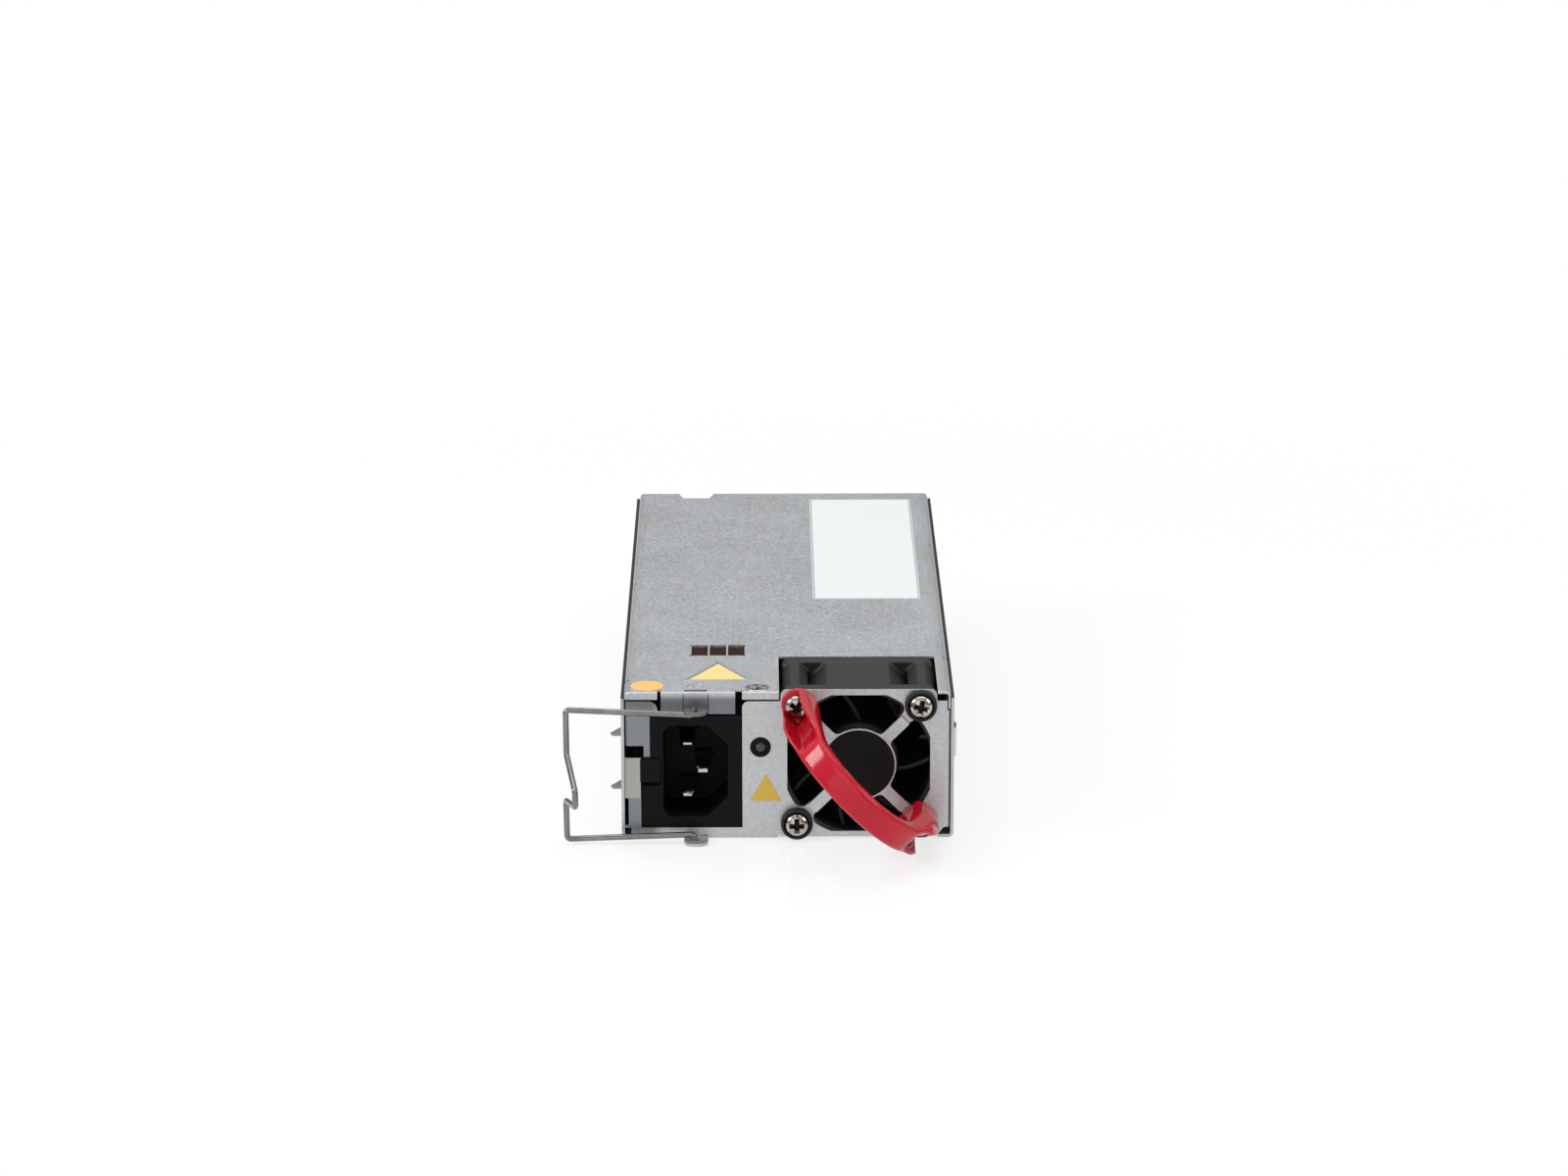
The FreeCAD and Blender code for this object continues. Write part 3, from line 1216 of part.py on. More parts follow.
def check():
    """Stop unless every feature computed and every sub-part is a valid solid."""
    doc.recompute()
    for thing in doc.Objects:
        if "Invalid" in thing.State or "Error" in thing.State:
            raise RuntimeError(f"{thing.Name} ({thing.Label}) failed: {thing.State}")
    for thing in nodes:
        shape = thing.Shape
        if shape.isNull() or not shape.isValid() or not shape.Solids:
            raise RuntimeError(f"{thing.Label} has no valid shape")


build()
check()
os.makedirs("parts", exist_ok=True)
for thing in nodes:
    thing.Shape.exportStep(f"parts/{thing.Label}.step")
    print(thing.Label, len(thing.Shape.Solids), round(thing.Shape.Volume, 1))
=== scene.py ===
# %% [markdown]
# # A hot swap server power supply
# A power supply that slides into a server from the front: a folded steel case, a mains inlet,
# a fan behind a stamped guard, a red strap to pull it out by, a spring latch and a wire that
# keeps the mains plug in. The steel is a finished shape from the CAD model, so here it gets its
# finish. The moulded, bent and repeated pieces are made again, because a CAD solid has sharper
# edges and coarser curves than the real ones.

# %% Imports and the CAD frame
import json
import math

import bmesh
import bpy
from mathutils import Matrix, Vector


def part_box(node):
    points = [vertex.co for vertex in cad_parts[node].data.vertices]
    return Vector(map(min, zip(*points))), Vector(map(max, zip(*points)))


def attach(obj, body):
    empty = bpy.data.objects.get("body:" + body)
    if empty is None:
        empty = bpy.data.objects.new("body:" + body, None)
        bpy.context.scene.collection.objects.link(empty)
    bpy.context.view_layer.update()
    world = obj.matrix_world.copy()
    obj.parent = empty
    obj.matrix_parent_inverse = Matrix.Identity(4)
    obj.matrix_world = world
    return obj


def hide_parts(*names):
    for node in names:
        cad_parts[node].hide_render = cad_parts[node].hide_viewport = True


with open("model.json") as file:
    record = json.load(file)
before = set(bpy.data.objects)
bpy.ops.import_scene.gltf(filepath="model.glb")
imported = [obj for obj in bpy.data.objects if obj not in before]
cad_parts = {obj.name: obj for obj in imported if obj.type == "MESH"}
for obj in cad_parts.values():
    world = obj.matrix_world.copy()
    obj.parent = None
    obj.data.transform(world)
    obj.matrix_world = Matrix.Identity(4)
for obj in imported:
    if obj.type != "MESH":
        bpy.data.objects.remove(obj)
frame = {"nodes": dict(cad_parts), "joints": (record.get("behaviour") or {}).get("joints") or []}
nodes = frame["nodes"]
MM = 0.001
X, Y, Z = 0, 1, 2
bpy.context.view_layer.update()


# %% Objects and meshes
def placed(name, data):
    """A new object in the scene that shows this data."""
    thing = bpy.data.objects.new(name, data)
    bpy.context.scene.collection.objects.link(thing)
    return thing


def mesh_of(shape, name):
    """Turns an edited shape into a mesh."""
    mesh = bpy.data.meshes.new(name)
    shape.to_mesh(mesh)
    shape.free()
    return mesh


# %% [markdown]
# ## Camera
# The supply is seen from in front and a little above, from far away through a long lens, so its
# sides stay nearly parallel. The camera is placed by its position and three small angles.

# %% Camera
eye = bpy.data.cameras.new("Camera")
eye.sensor_width = 36.0
eye.lens = 117.98
eye.clip_end = 50.0
camera = placed("Camera", eye)
camera.location = Vector((-6.95, -1359.8, 437.8)) * MM
azimuth, elevation, roll = math.radians(-0.276), math.radians(16.337), math.radians(-0.068)
back = Vector((math.sin(azimuth) * math.cos(elevation), -math.cos(azimuth) * math.cos(elevation),
               math.sin(elevation)))
level = Vector((math.cos(azimuth), math.sin(azimuth), 0.0))
upright = back.cross(level)
right = level * math.cos(roll) + upright * math.sin(roll)
up = upright * math.cos(roll) - level * math.sin(roll)
camera.rotation_mode = "QUATERNION"
camera.rotation_quaternion = Matrix((right, up, back)).transposed().to_quaternion()
bpy.context.scene.camera = camera
print("camera at", [round(c, 3) for c in camera.location])

# %% [markdown]
# ## Shader sums
# A finish is a small program: noise becomes a mask, masks are added, and the result drives the
# colour or the roughness. Written with Python's own operators, such a sum is easier to read than
# a list of node links, so a small class stands for the output of a node.


# %% A node's output that can be added and multiplied
class Signal:
    """The output of a node. Sums and products with it add Math nodes."""

    def __init__(self, finish, socket):
        self.finish = finish
        self.socket = socket

    def maths(self, operation, *values):
        sockets = dict(enumerate(values))
        return self.finish.node("Math", {"operation": operation}, sockets)

    def __add__(self, other):
        return self.maths("ADD", self, other)

    __radd__ = __add__

    def __sub__(self, other):
        return self.maths("SUBTRACT", self, other)

    def __rsub__(self, other):
        return self.maths("SUBTRACT", other, self)

    def __mul__(self, other):
        return self.maths("MULTIPLY", self, other)

    __rmul__ = __mul__

    def above(self, limit, softness):
        """0 below the limit and 1 above it, with a soft step."""
        return self.finish.node("MapRange", {"interpolation_type": "SMOOTHSTEP"}, {
            0: self, 1: limit - softness, 2: limit + softness, 3: 0.0, 4: 1.0})


# %% [markdown]
# Every finish starts from the Principled shader. Values that are the same all over go on its
# sockets as numbers. Patterns read Object coordinates, which are metres here because every
# object sits at the origin, so a grain size in millimetres can be given directly.


# %% A finish
class Finish:
    """A procedural material on the Principled shader."""

    def __init__(self, name, colour, roughness, metallic=0.0, **more):
        self.material = bpy.data.materials.new(name)
        self.material.use_nodes = True
        self.tree = self.material.node_tree
        self.shader = self.tree.nodes["Principled BSDF"]
        self.set("Base Color", (*colour, 1.0))
        self.set("Roughness", roughness)
        self.set("Metallic", metallic)
        for key, value in more.items():
            self.set(key.replace("_", " ").title().replace("Ior", "IOR"), value)
        self.place = self.node("TexCoord", {}, {}, "Object")

    def feed(self, socket, value):
        if isinstance(value, Signal):
            self.tree.links.new(value.socket, socket)
        else:
            socket.default_value = value

    def set(self, name, value):
        self.feed(self.shader.inputs[name], value)

    def node(self, kind, settings, sockets, output=0):
        """Adds a node: its settings first, then its sockets by name or number."""
        made = self.tree.nodes.new("ShaderNode" + kind)
        for name, value in settings.items():
            setattr(made, name, value)
        for key, value in sockets.items():
            self.feed(made.inputs[key], value)
        return Signal(self, made.outputs[output])

    def along(self, axis):
        """One coordinate of the surface, in metres."""
        return self.node("SeparateXYZ", {}, {0: self.place}, axis)

    def colour_so_far(self):
        """What drives the colour now, so that a mask can be laid over it."""
        return Signal(self, self.shader.inputs["Base Color"].links[0].from_socket)

    def noise(self, grain_mm, detail=3.0, stretch=(1.0, 1.0, 1.0)):
        """Noise with this grain, drawn out along an axis whose stretch is small."""
        spread = self.node("VectorMath", {"operation": "MULTIPLY"}, {0: self.place, 1: stretch})
        return self.node("TexNoise", {}, {
            "Vector": spread, "Scale": 1.0 / (grain_mm * MM), "Detail": detail})

    def grains(self, grain_mm):
        """A random number for each crystal of a cell pattern."""
        cells = self.node("TexVoronoi", {"feature": "F1"}, {
            "Vector": self.place, "Scale": 1.0 / (grain_mm * MM)}, "Color")
        return self.node("SeparateColor", {}, {0: cells}, 0)

    def mix(self, factor, first, second):
        """One colour shading into another."""
        return self.node("Mix", {"data_type": "RGBA"}, {
            0: factor, 6: (*first, 1.0) if isinstance(first, tuple) else first,
            7: (*second, 1.0) if isinstance(second, tuple) else second}, 2)

    def bump(self, height, depth_mm, strength=1.0):
        """Fine relief from a height signal."""
        relief = self.node("Bump", {}, {"Height": height, "Distance": depth_mm * MM,
                                        "Strength": strength})
        self.set("Normal", relief)


# %% [markdown]
# ## Zinc coated steel
# The case is galvanised sheet: a soft grey metal with a fine crystal grain, faint cloudy patches
# and rolling marks. Three noises of different size give it: crystals of under a millimetre,
# clouds of a few centimetres, and long thin streaks along the rolling direction.

# %% Zinc coated steel
def galvanised(name):
    """Zinc coated sheet: the finish and its height signal."""
    made = Finish(name, (0.5, 0.5, 0.51), 0.42, metallic=0.85)
    crystal = made.grains(0.5)
    cloud = made.noise(22.0)
    streak = made.noise(1.2, detail=4.0, stretch=(1.0, 0.06, 1.0))
    tone = crystal * 0.45 + cloud * 0.35 + streak * 0.3
    made.set("Base Color", made.mix(tone, (0.36, 0.375, 0.39), (0.60, 0.615, 0.63)))
    made.set("Roughness", crystal * 0.12 + cloud * 0.1 + 0.34)
    return made, crystal * 0.5 + streak * 0.5


zinc, sheet_grain = galvanised("zinc_steel")
zinc.bump(sheet_grain, 0.012)

# %% [markdown]
# The corner beside the inlet is darker than the rest of the front. That is painted shade: a mask
# across the front darkens its finish on that side.

# %% Front steel with painted shade beside the inlet
panel_zinc, panel_grain = galvanised("panel_zinc")
panel_zinc.bump(panel_grain, 0.012)
SHADE_SIDE_X = -34.0 * MM
# painted shade: the front's colour darkens towards the inlet side
painted_inlet_side_shade = (1.0 - panel_zinc.along(X).above(SHADE_SIDE_X, 1.5 * MM)) * 0.75
coated = panel_zinc.colour_so_far()
panel_zinc.set("Base Color", panel_zinc.mix(painted_inlet_side_shade, coated, (0.14, 0.155, 0.17)))

# %% [markdown]
# A mask on the height paints a thin strip along the top of the tray's walls near black.

# %% Tray with a dark top edge
tray_zinc, tray_grain = galvanised("tray_zinc")
tray_zinc.bump(tray_grain, 0.012)
wall_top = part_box("chassis_tray")[1].z
DARK_EDGE_HIGH = 0.25 * MM
# the top 0.25 mm of the walls is painted near black
dark_top_edge = tray_zinc.along(Z).above(wall_top - DARK_EDGE_HIGH, 0.05 * MM)
coated = tray_zinc.colour_so_far()
tray_zinc.set("Base Color", tray_zinc.mix(dark_top_edge, coated, (0.035, 0.035, 0.037)))

# %% [markdown]
# The cover is the same sheet, but its long sides were pressed down a little before they were
# folded. That leaves a flat band along each side that tilts away from the light. The tilt is far
# too small to change the outline, so a ramp in the height signal stands for it.

# %% Pressed bands on the cover
cover_zinc, cover_grain = galvanised("cover_zinc")
BAND_WIDE = 2.6 * MM
BAND_TILT = 28.0
side_x = max(abs(corner.x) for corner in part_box("top_cover"))
place_x = cover_zinc.along(X)
from_side = side_x - place_x.maths("ABSOLUTE", place_x)
band = cover_zinc.node("MapRange", {}, {0: from_side, 1: 0.0, 2: BAND_WIDE, 3: 0.0, 4: 1.0})
cover_zinc.bump(band * BAND_TILT + cover_grain * 0.5, 0.024)

# %% [markdown]
# The tabs that hang from the cover's front edge get painted shade: their colour is darkened below
# the bend, towards their tips.

# %% Painted shade on the tabs
TAB_LEFT, TAB_RIGHT = -32.8 * MM, -13.4 * MM
TAB_TOP, TAB_DEEP = 38.4 * MM, 2.4 * MM
cover_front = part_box("front_panel")[0].y
across, inwards, height = (cover_zinc.along(axis) for axis in (X, Y, Z))
hangs = 1.0 - height.above(TAB_TOP, 1.0 * MM)
at_front = 1.0 - inwards.above(cover_front + TAB_DEEP, 0.2 * MM)
between = across.above(TAB_LEFT, 0.1 * MM) * (1.0 - across.above(TAB_RIGHT, 0.1 * MM))
# painted shade on the hanging tabs
painted_tab_shade = hangs * at_front * between * 0.8
coated = cover_zinc.colour_so_far()
cover_zinc.set("Base Color", cover_zinc.mix(painted_tab_shade, coated, (0.10, 0.105, 0.115)))

# %% [markdown]
# The latch leaf, the bail and the ground spring are spring steel, with marks that run along the
# strip. The leaf and the wire are darker than the case. The screws, the pins and the edge
# contacts are plated.

# %% Spring steel, nickel and gold
spring_steel = Finish("spring_steel", (0.62, 0.60, 0.57), 0.24, metallic=1.0)
drawn = spring_steel.noise(0.5, detail=5.0, stretch=(0.08, 1.0, 1.0))
tarnish = spring_steel.noise(9.0)
spring_steel.set("Base Color", spring_steel.mix(tarnish, (0.42, 0.41, 0.40), (0.72, 0.70, 0.66)))
spring_steel.set("Roughness", drawn * 0.2 + 0.16)
spring_steel.bump(drawn, 0.006)

leaf_steel = Finish("leaf_steel", (0.36, 0.35, 0.33), 0.34, metallic=1.0)
rolled = leaf_steel.noise(3.0, detail=4.0, stretch=(1.0, 1.0, 0.15))
leaf_steel.set("Base Color", leaf_steel.mix(rolled, (0.27, 0.265, 0.245), (0.43, 0.42, 0.39)))
leaf_steel.set("Roughness", rolled * 0.14 + 0.28)
leaf_steel.bump(rolled, 0.004)

wire_steel = Finish("wire_steel", (0.36, 0.355, 0.35), 0.22, metallic=1.0)
scale = wire_steel.noise(4.0, detail=4.0)
wire_steel.set("Base Color", wire_steel.mix(scale, (0.13, 0.127, 0.124), (0.30, 0.29, 0.28)))
wire_steel.set("Roughness", scale * 0.16 + 0.14)
wire_steel.bump(wire_steel.noise(0.4), 0.003)

nickel = Finish("bright_nickel", (0.68, 0.65, 0.61), 0.2, metallic=1.0)
handling = nickel.noise(1.4, detail=3.0)
# painted shade: the cross recess of each screw is darkened to a near black brown
recess_shade = nickel.node("Attribute", {"attribute_name": "recess"}, {}, "Fac")
plated = nickel.mix(handling, (0.34, 0.315, 0.29), (0.54, 0.51, 0.47))
nickel.set("Base Color", nickel.mix(recess_shade, plated, (0.022, 0.015, 0.012)))
nickel.set("Roughness", handling * 0.14 + recess_shade * 0.3 + 0.1)
nickel.bump(handling, 0.004)

pin_plating = Finish("pin_plating", (0.70, 0.68, 0.62), 0.2, metallic=1.0)
wear = pin_plating.noise(2.5, detail=3.0)
pin_plating.set("Base Color", pin_plating.mix(wear, (0.42, 0.41, 0.37), (0.60, 0.58, 0.53)))
pin_plating.set("Roughness", wear * 0.1 + 0.14)

gold = Finish("contact_gold", (0.9, 0.66, 0.28), 0.22, metallic=1.0)
rubbed = gold.noise(1.0, detail=4.0, stretch=(1.0, 0.15, 1.0))
gold.set("Base Color", gold.mix(rubbed, (0.78, 0.54, 0.2), (0.95, 0.74, 0.36)))
gold.set("Roughness", rubbed * 0.2 + 0.14)

# %% [markdown]
# ## Black plastics
# The inlet and the fan are both black but not alike. The inlet is a glass filled moulding with a
# fine eroded texture, and the fan is smoother and a little shinier. A moulded surface is never
# quite flat, so both get a fine bump as well as a change in gloss.


# %% Black plastics and rubber
def moulded(name, dark, light, roughness, grain_mm, depth_mm, **more):
    """A moulded surface: fine eroded grain and cloudy gloss."""
    made = Finish(name, dark, roughness, **more)
    grain = made.noise(grain_mm, detail=2.0)
    gloss = made.noise(14.0)
    made.set("Base Color", made.mix(grain * 0.6 + gloss * 0.4, dark, light))
    made.set("Roughness", grain * 0.1 + gloss * 0.14 + (roughness - 0.12))
    made.bump(grain, depth_mm)
    return made


inlet_black = moulded("inlet_black", (0.003, 0.003, 0.0035), (0.008, 0.008, 0.009), 0.5, 0.22,
                      0.010, specular_ior_level=0.08)
fan_black = moulded("fan_black", (0.006, 0.006, 0.007), (0.015, 0.015, 0.016), 0.48, 0.35, 0.012,
                    specular_ior_level=0.35)
blade_black = moulded("blade_black", (0.004, 0.004, 0.005), (0.010, 0.010, 0.011), 0.42, 0.4,
                      0.012, specular_ior_level=0.2)
rubber = moulded("bumper_rubber", (0.008, 0.008, 0.008), (0.018, 0.018, 0.018), 0.6, 0.3, 0.02,
                 specular_ior_level=0.25)

# %% [markdown]
# ## Handle red
# The strap is a soft glossy red plastic, deep enough that thin edges look lighter than the thick
# middle. A little subsurface scatter gives that, and a low roughness gives the sharp highlights
# along the bow.

# %% Handle red
handle_red = Finish("handle_red", (0.46, 0.010, 0.024), 0.12, specular_ior_level=0.3,
                    subsurface_weight=0.04, subsurface_radius=(1.0, 0.1, 0.06),
                    subsurface_scale=0.001)
flow = handle_red.noise(16.0)
skin = handle_red.noise(0.35, detail=2.0)
handle_red.set("Base Color", handle_red.mix(flow, (0.40, 0.005, 0.017), (0.52, 0.010, 0.028)))
handle_red.set("Roughness", skin * 0.05 + flow * 0.04 + 0.07)
handle_red.bump(skin, 0.005)

# %% [markdown]
# ## Labels and film
# Stickers are satin paper with a faint fibre. They stay blank. The film under the cover's
# windows is a smooth dark brown insulating sheet.


# %% Labels and film
def sticker(name, colour, shade):
    """Satin printed paper: faint fibre in colour, gloss and relief."""
    made = Finish(name, colour, 0.42, coat_roughness=0.3)
    fibre = made.noise(0.35, detail=4.0)
    patch = made.noise(18.0)
    made.set("Base Color", made.mix(fibre * 0.5 + patch * 0.5, colour, shade))
    made.set("Roughness", fibre * 0.16 + 0.34)
    made.set("Coat Weight", patch * 0.25)
    made.bump(fibre, 0.006)
    return made


white_label = sticker("white_label", (0.66, 0.68, 0.68), (0.74, 0.76, 0.76))
sheet_low, sheet_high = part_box("cover_label")
LINE_OUTER, LINE_INNER = 0.2 * MM, 0.55 * MM
across = white_label.along(X)
lengthwise = white_label.along(Y)
to_edge = across.maths("MINIMUM", across - sheet_low.x, sheet_high.x - across)
to_end = across.maths("MINIMUM", lengthwise - sheet_low.y, sheet_high.y - lengthwise)
inward = across.maths("MINIMUM", to_edge, to_end)
border = inward.above(LINE_OUTER, 0.05 * MM) * (1.0 - inward.above(LINE_INNER, 0.1 * MM))
paper = white_label.colour_so_far()
white_label.set("Base Color", white_label.mix(border * 0.7, paper, (0.16, 0.17, 0.17)))
# One yellow warning sticker in two copies: the upward one is painted paler (painted light), the
# upright front one deeper (painted shade).
pale_yellow = sticker("pale_yellow", (0.80, 0.56, 0.17), (0.88, 0.64, 0.24))
deep_yellow = sticker("deep_yellow", (0.56, 0.36, 0.03), (0.68, 0.46, 0.06))
orange_label = sticker("orange_label", (0.95, 0.42, 0.10), (1.0, 0.50, 0.16))
black_label = moulded("black_label", (0.004, 0.003, 0.003), (0.009, 0.008, 0.008), 0.5, 0.4,
                      0.004, specular_ior_level=0.1)
brown_film = moulded("brown_film", (0.018, 0.006, 0.004), (0.034, 0.013, 0.008), 0.5, 0.8, 0.006,
                     specular_ior_level=0.05)
lens_clear = moulded("lens_clear", (0.02, 0.022, 0.022), (0.05, 0.054, 0.052), 0.2, 0.6, 0.002)

# %% [markdown]
# ## Inner parts
# Behind the vents sit a green board, copper coils, ferrite cores, sleeved cans and finned
# aluminium. They are seen only through holes, but each has its own finish all the same.

# %% Inner finishes
board_green = moulded("board_green", (0.012, 0.10, 0.045), (0.025, 0.16, 0.07), 0.38, 1.6, 0.02)
ferrite = moulded("ferrite", (0.035, 0.035, 0.038), (0.07, 0.07, 0.075), 0.6, 0.4, 0.04)
can_sleeve = moulded("can_sleeve", (0.012, 0.016, 0.05), (0.02, 0.03, 0.08), 0.3, 2.0, 0.01)
coil_tape = moulded("coil_tape", (0.62, 0.42, 0.03), (0.75, 0.52, 0.06), 0.35, 1.2, 0.02)
lead_red = moulded("lead_red", (0.22, 0.01, 0.01), (0.32, 0.02, 0.02), 0.4, 0.8, 0.02)
plug_white = moulded("plug_white", (0.62, 0.60, 0.54), (0.72, 0.70, 0.64), 0.4, 0.5, 0.01)
copper = Finish("enamelled_copper", (0.72, 0.30, 0.12), 0.28, metallic=1.0)
turns = copper.noise(0.6, detail=2.0, stretch=(1.0, 1.0, 0.2))
copper.set("Base Color", copper.mix(turns, (0.48, 0.17, 0.05), (0.80, 0.36, 0.16)))
copper.bump(turns, 0.06)
aluminium = Finish("extruded_aluminium", (0.66, 0.67, 0.68), 0.38, metallic=1.0)
die_lines = aluminium.noise(0.4, detail=5.0, stretch=(1.0, 0.04, 1.0))
aluminium.set("Base Color", aluminium.mix(die_lines, (0.55, 0.56, 0.57), (0.74, 0.75, 0.76)))
aluminium.set("Roughness", die_lines * 0.2 + 0.28)
aluminium.bump(die_lines, 0.01)

# %% [markdown]
# ## Giving the CAD pieces their finish
# A CAD node keeps its shape. Its material slots are pointed at the finish instead.

# %% Paint the CAD nodes
PAINT = {
    zinc: ["rear_panel"],
    panel_zinc: ["front_panel", "left_bracket"],
    tray_zinc: ["chassis_tray"],
    cover_zinc: ["top_cover"],
    spring_steel: ["ground_spring", "rotor_yoke", "rotor_shaft", "fan_bearings",
                   "board_standoffs"],
    leaf_steel: ["latch_spring"],
    wire_steel: ["wire_bail"],
    nickel: ["cover_screw", "fan_screws", "latch_rivets", "board_screws"],
    pin_plating: ["inlet_pins"],
    gold: ["edge_contacts"],
    inlet_black: ["inlet_housing", "light_bezel", "mains_fuse"],
    fan_black: ["fan_frame"],
    blade_black: ["fan_impeller"],
    rubber: ["fan_bumpers"],
    handle_red: ["strap_handle"],
    white_label: ["cover_label"],
    pale_yellow: ["top_triangle_label"],
    deep_yellow: ["front_triangle_label"],
    orange_label: ["orange_dot"],
    black_label: ["hub_label"],
    brown_film: ["cover_insulator"],
    lens_clear: ["light_pipe"],
    board_green: ["filter_board", "light_board", "motor_board", "main_board", "control_board"],
    ferrite: ["choke_core", "transformer_core", "rotor_magnet", "stator_core"],
    can_sleeve: ["bulk_capacitors", "output_capacitors"],
    coil_tape: ["transformer_coil", "filter_capacitors", "standby_transformer"],
    lead_red: ["inlet_leads"],
    plug_white: ["fan_plug"],
    copper: ["stator_coils", "choke_windings", "boost_inductor", "output_inductor"],
    aluminium: ["primary_heatsink", "secondary_heatsink"],
}


def paint(piece, finish):
    """Show a finish on every face of a piece."""
    if not piece.material_slots:
        piece.data.materials.append(finish.material)
    for place in piece.material_slots:
        place.link = "OBJECT"
        place.material = finish.material


for finish, names in PAINT.items():
    for name in names:
        paint(nodes[name], finish)
bare = sorted(set(nodes) - {name for names in PAINT.values() for name in names})
print("nodes without a finish:", bare)

# %% [markdown]
# ## Helpers for new pieces
# A new piece is a mesh object at the origin. The lathe turns a half section about an axis along
# Y, because the screws and the fan hub face the front.


# %% Making pieces
def piece_from(mesh, name, finish, body, stands_for=(), smooth=40.0):
    """A finished piece: its smooth faces, its finish, its body and what it replaces."""
    piece = placed(name, mesh)
    mesh.materials.clear()
    mesh.materials.append(finish.material)
    mesh.shade_smooth()
    mesh.set_sharp_from_angle(angle=math.radians(smooth))
    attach(piece, body)
    if stands_for:
        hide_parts(*stands_for)
    print(name, len(mesh.polygons), "faces")
    return piece


def lathe(section, steps, name):
    """A closed mesh turned from (y, radius) points in mm about the Y axis."""
    shape = bmesh.new()
    ring = [shape.verts.new((0.0, y * MM, radius * MM)) for y, radius in section]
    for first, second in zip(ring, ring[1:]):
        shape.edges.new((first, second))
    bmesh.ops.spin(shape, geom=shape.verts[:] + shape.edges[:], axis=(0, 1, 0), cent=(0, 0, 0),
                   angle=math.tau, steps=steps, use_duplicate=False)
    bmesh.ops.remove_doubles(shape, verts=shape.verts, dist=1e-7)
    bmesh.ops.recalc_face_normals(shape, faces=shape.faces)
    return mesh_of(shape, name)


def evaluated(piece, name):
    """The plain mesh that an object's modifiers make."""
    bpy.context.view_layer.update()
    graph = bpy.context.evaluated_depsgraph_get()
    mesh = bpy.data.meshes.new_from_object(piece.evaluated_get(graph))
    mesh.name = name
    bpy.data.objects.remove(piece)
    return mesh


# %% [markdown]
# ## Moulded pieces
# Plastic comes out of a mould with slightly melted edges, which catch a thin line of light. A
# fine voxel remesh of the CAD shape followed by a few rounds of smoothing rounds every edge by
# the same small radius, cups and corners included.


# %% Soften a CAD shape
def soft_mesh(name, voxel_mm, rounds):
    """A copy of a CAD node with its edges melted by about a voxel or two."""
    shape = bmesh.new()
    shape.from_mesh(nodes[name].data)
    bmesh.ops.remove_doubles(shape, verts=shape.verts, dist=1e-6)
    mesh = mesh_of(shape, name + "_copy")
    mesh.materials.clear()
    holder = placed(name + "_copy", mesh)
    remesh = holder.modifiers.new("Voxels", "REMESH")
    remesh.mode = "VOXEL"
    remesh.voxel_size = voxel_mm * MM
    melt = holder.modifiers.new("Melt", "SMOOTH")
    melt.factor = 0.5
    melt.iterations = rounds
    return evaluated(holder, name + "_soft")


PANEL_DEEP = 10.0   # from the panel's rear edge to its face, in mm
FOOT_DEEP = 1.5     # how far in front of the face the rounding starts
MELT_DEEP = 6.0     # the depth over which it grows to its full amount
BOW_DEEP = 14.0     # the depth from which a point belongs to the bow
FOOT_LONG = 6.0     # the stretch at each end that keeps its width
DRAW_LONG = 5.0     # the stretch over which the strap grows narrower
DRAWN_SHARE = 0.2   # how much the points of the bow are drawn in


def eased(share):
    """A share held between 0 and 1, with a soft start and a soft end."""
    share = min(max(share, 0.0), 1.0)
    return share * share * (3.0 - 2.0 * share)


def scooped(mesh):
    """Rounds the strap off in front of its feet and draws its bow in to a narrower band."""
    face_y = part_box("front_panel")[1].y - PANEL_DEEP * MM
    across = Vector((1.0, 0.0, 1.0)).normalized()
    along = Vector((1.0, 0.0, -1.0)).normalized()
    ends = [vertex.co.dot(along) for vertex in mesh.vertices]
    first, last = min(ends), max(ends)
    low_edge = min(vertex.co.dot(across) for vertex in mesh.vertices
                   if face_y - vertex.co.y > BOW_DEEP * MM)
    holder = placed("scooping", mesh)
    melt = holder.vertex_groups.new(name="melt")
    for vertex in mesh.vertices:
        depth = (face_y - vertex.co.y) / MM
        melt.add([vertex.index], eased((depth - FOOT_DEEP) / MELT_DEEP), "REPLACE")
        reach = vertex.co.dot(along)
        past_foot = min(reach - first, last - reach) / MM
        drawn = eased((past_foot - FOOT_LONG) / DRAW_LONG)
        offset = vertex.co.dot(across) - low_edge
        vertex.co -= across * (offset * DRAWN_SHARE * drawn)
    smoothing = holder.modifiers.new("Melt", "SMOOTH")
    smoothing.factor = 0.5
    smoothing.iterations = 150
    smoothing.vertex_group = "melt"
    filling = holder.modifiers.new("Fill", "DISPLACE")
    filling.strength = 0.25 * MM
    filling.mid_level = 0.0
    filling.vertex_group = "melt"
    return evaluated(holder, mesh.name + "_scooped")


strap_mesh = scooped(soft_mesh("strap_handle", 0.25, 14))
piece_from(strap_mesh, "strap", handle_red, "housing", ["strap_handle"], smooth=180.0)
piece_from(soft_mesh("inlet_housing", 0.3, 2), "inlet", inlet_black, "housing",
           ["inlet_housing"], smooth=180.0)
piece_from(soft_mesh("fan_bumpers", 0.16, 6), "bumpers", rubber, "housing", ["fan_bumpers"],
           smooth=180.0)
piece_from(soft_mesh("fan_frame", 0.4, 2), "duct", fan_black, "housing", ["fan_frame"],
           smooth=180.0)

# %% [markdown]
# ## Inlet pins
# The three blades are stamped from flat bar and their tips are coined, so a tip is a small face
# with four slopes behind it. Only that small face shines out of the dark inlet.


# %% A coined blade
PIN_ROOT, PIN_END = -79.5, -70.5       # where the flat blade and its tail end, in mm
PIN_HALF_WIDE, PIN_HALF_THICK = 2.0, 1.0
PIN_COINED = 1.3                       # how long the coined slopes are
TAIL_RADIUS, TAIL_LONG = 0.7, 9.4
PIN_PITCH, EARTH_OFF = 14.0, 4.0


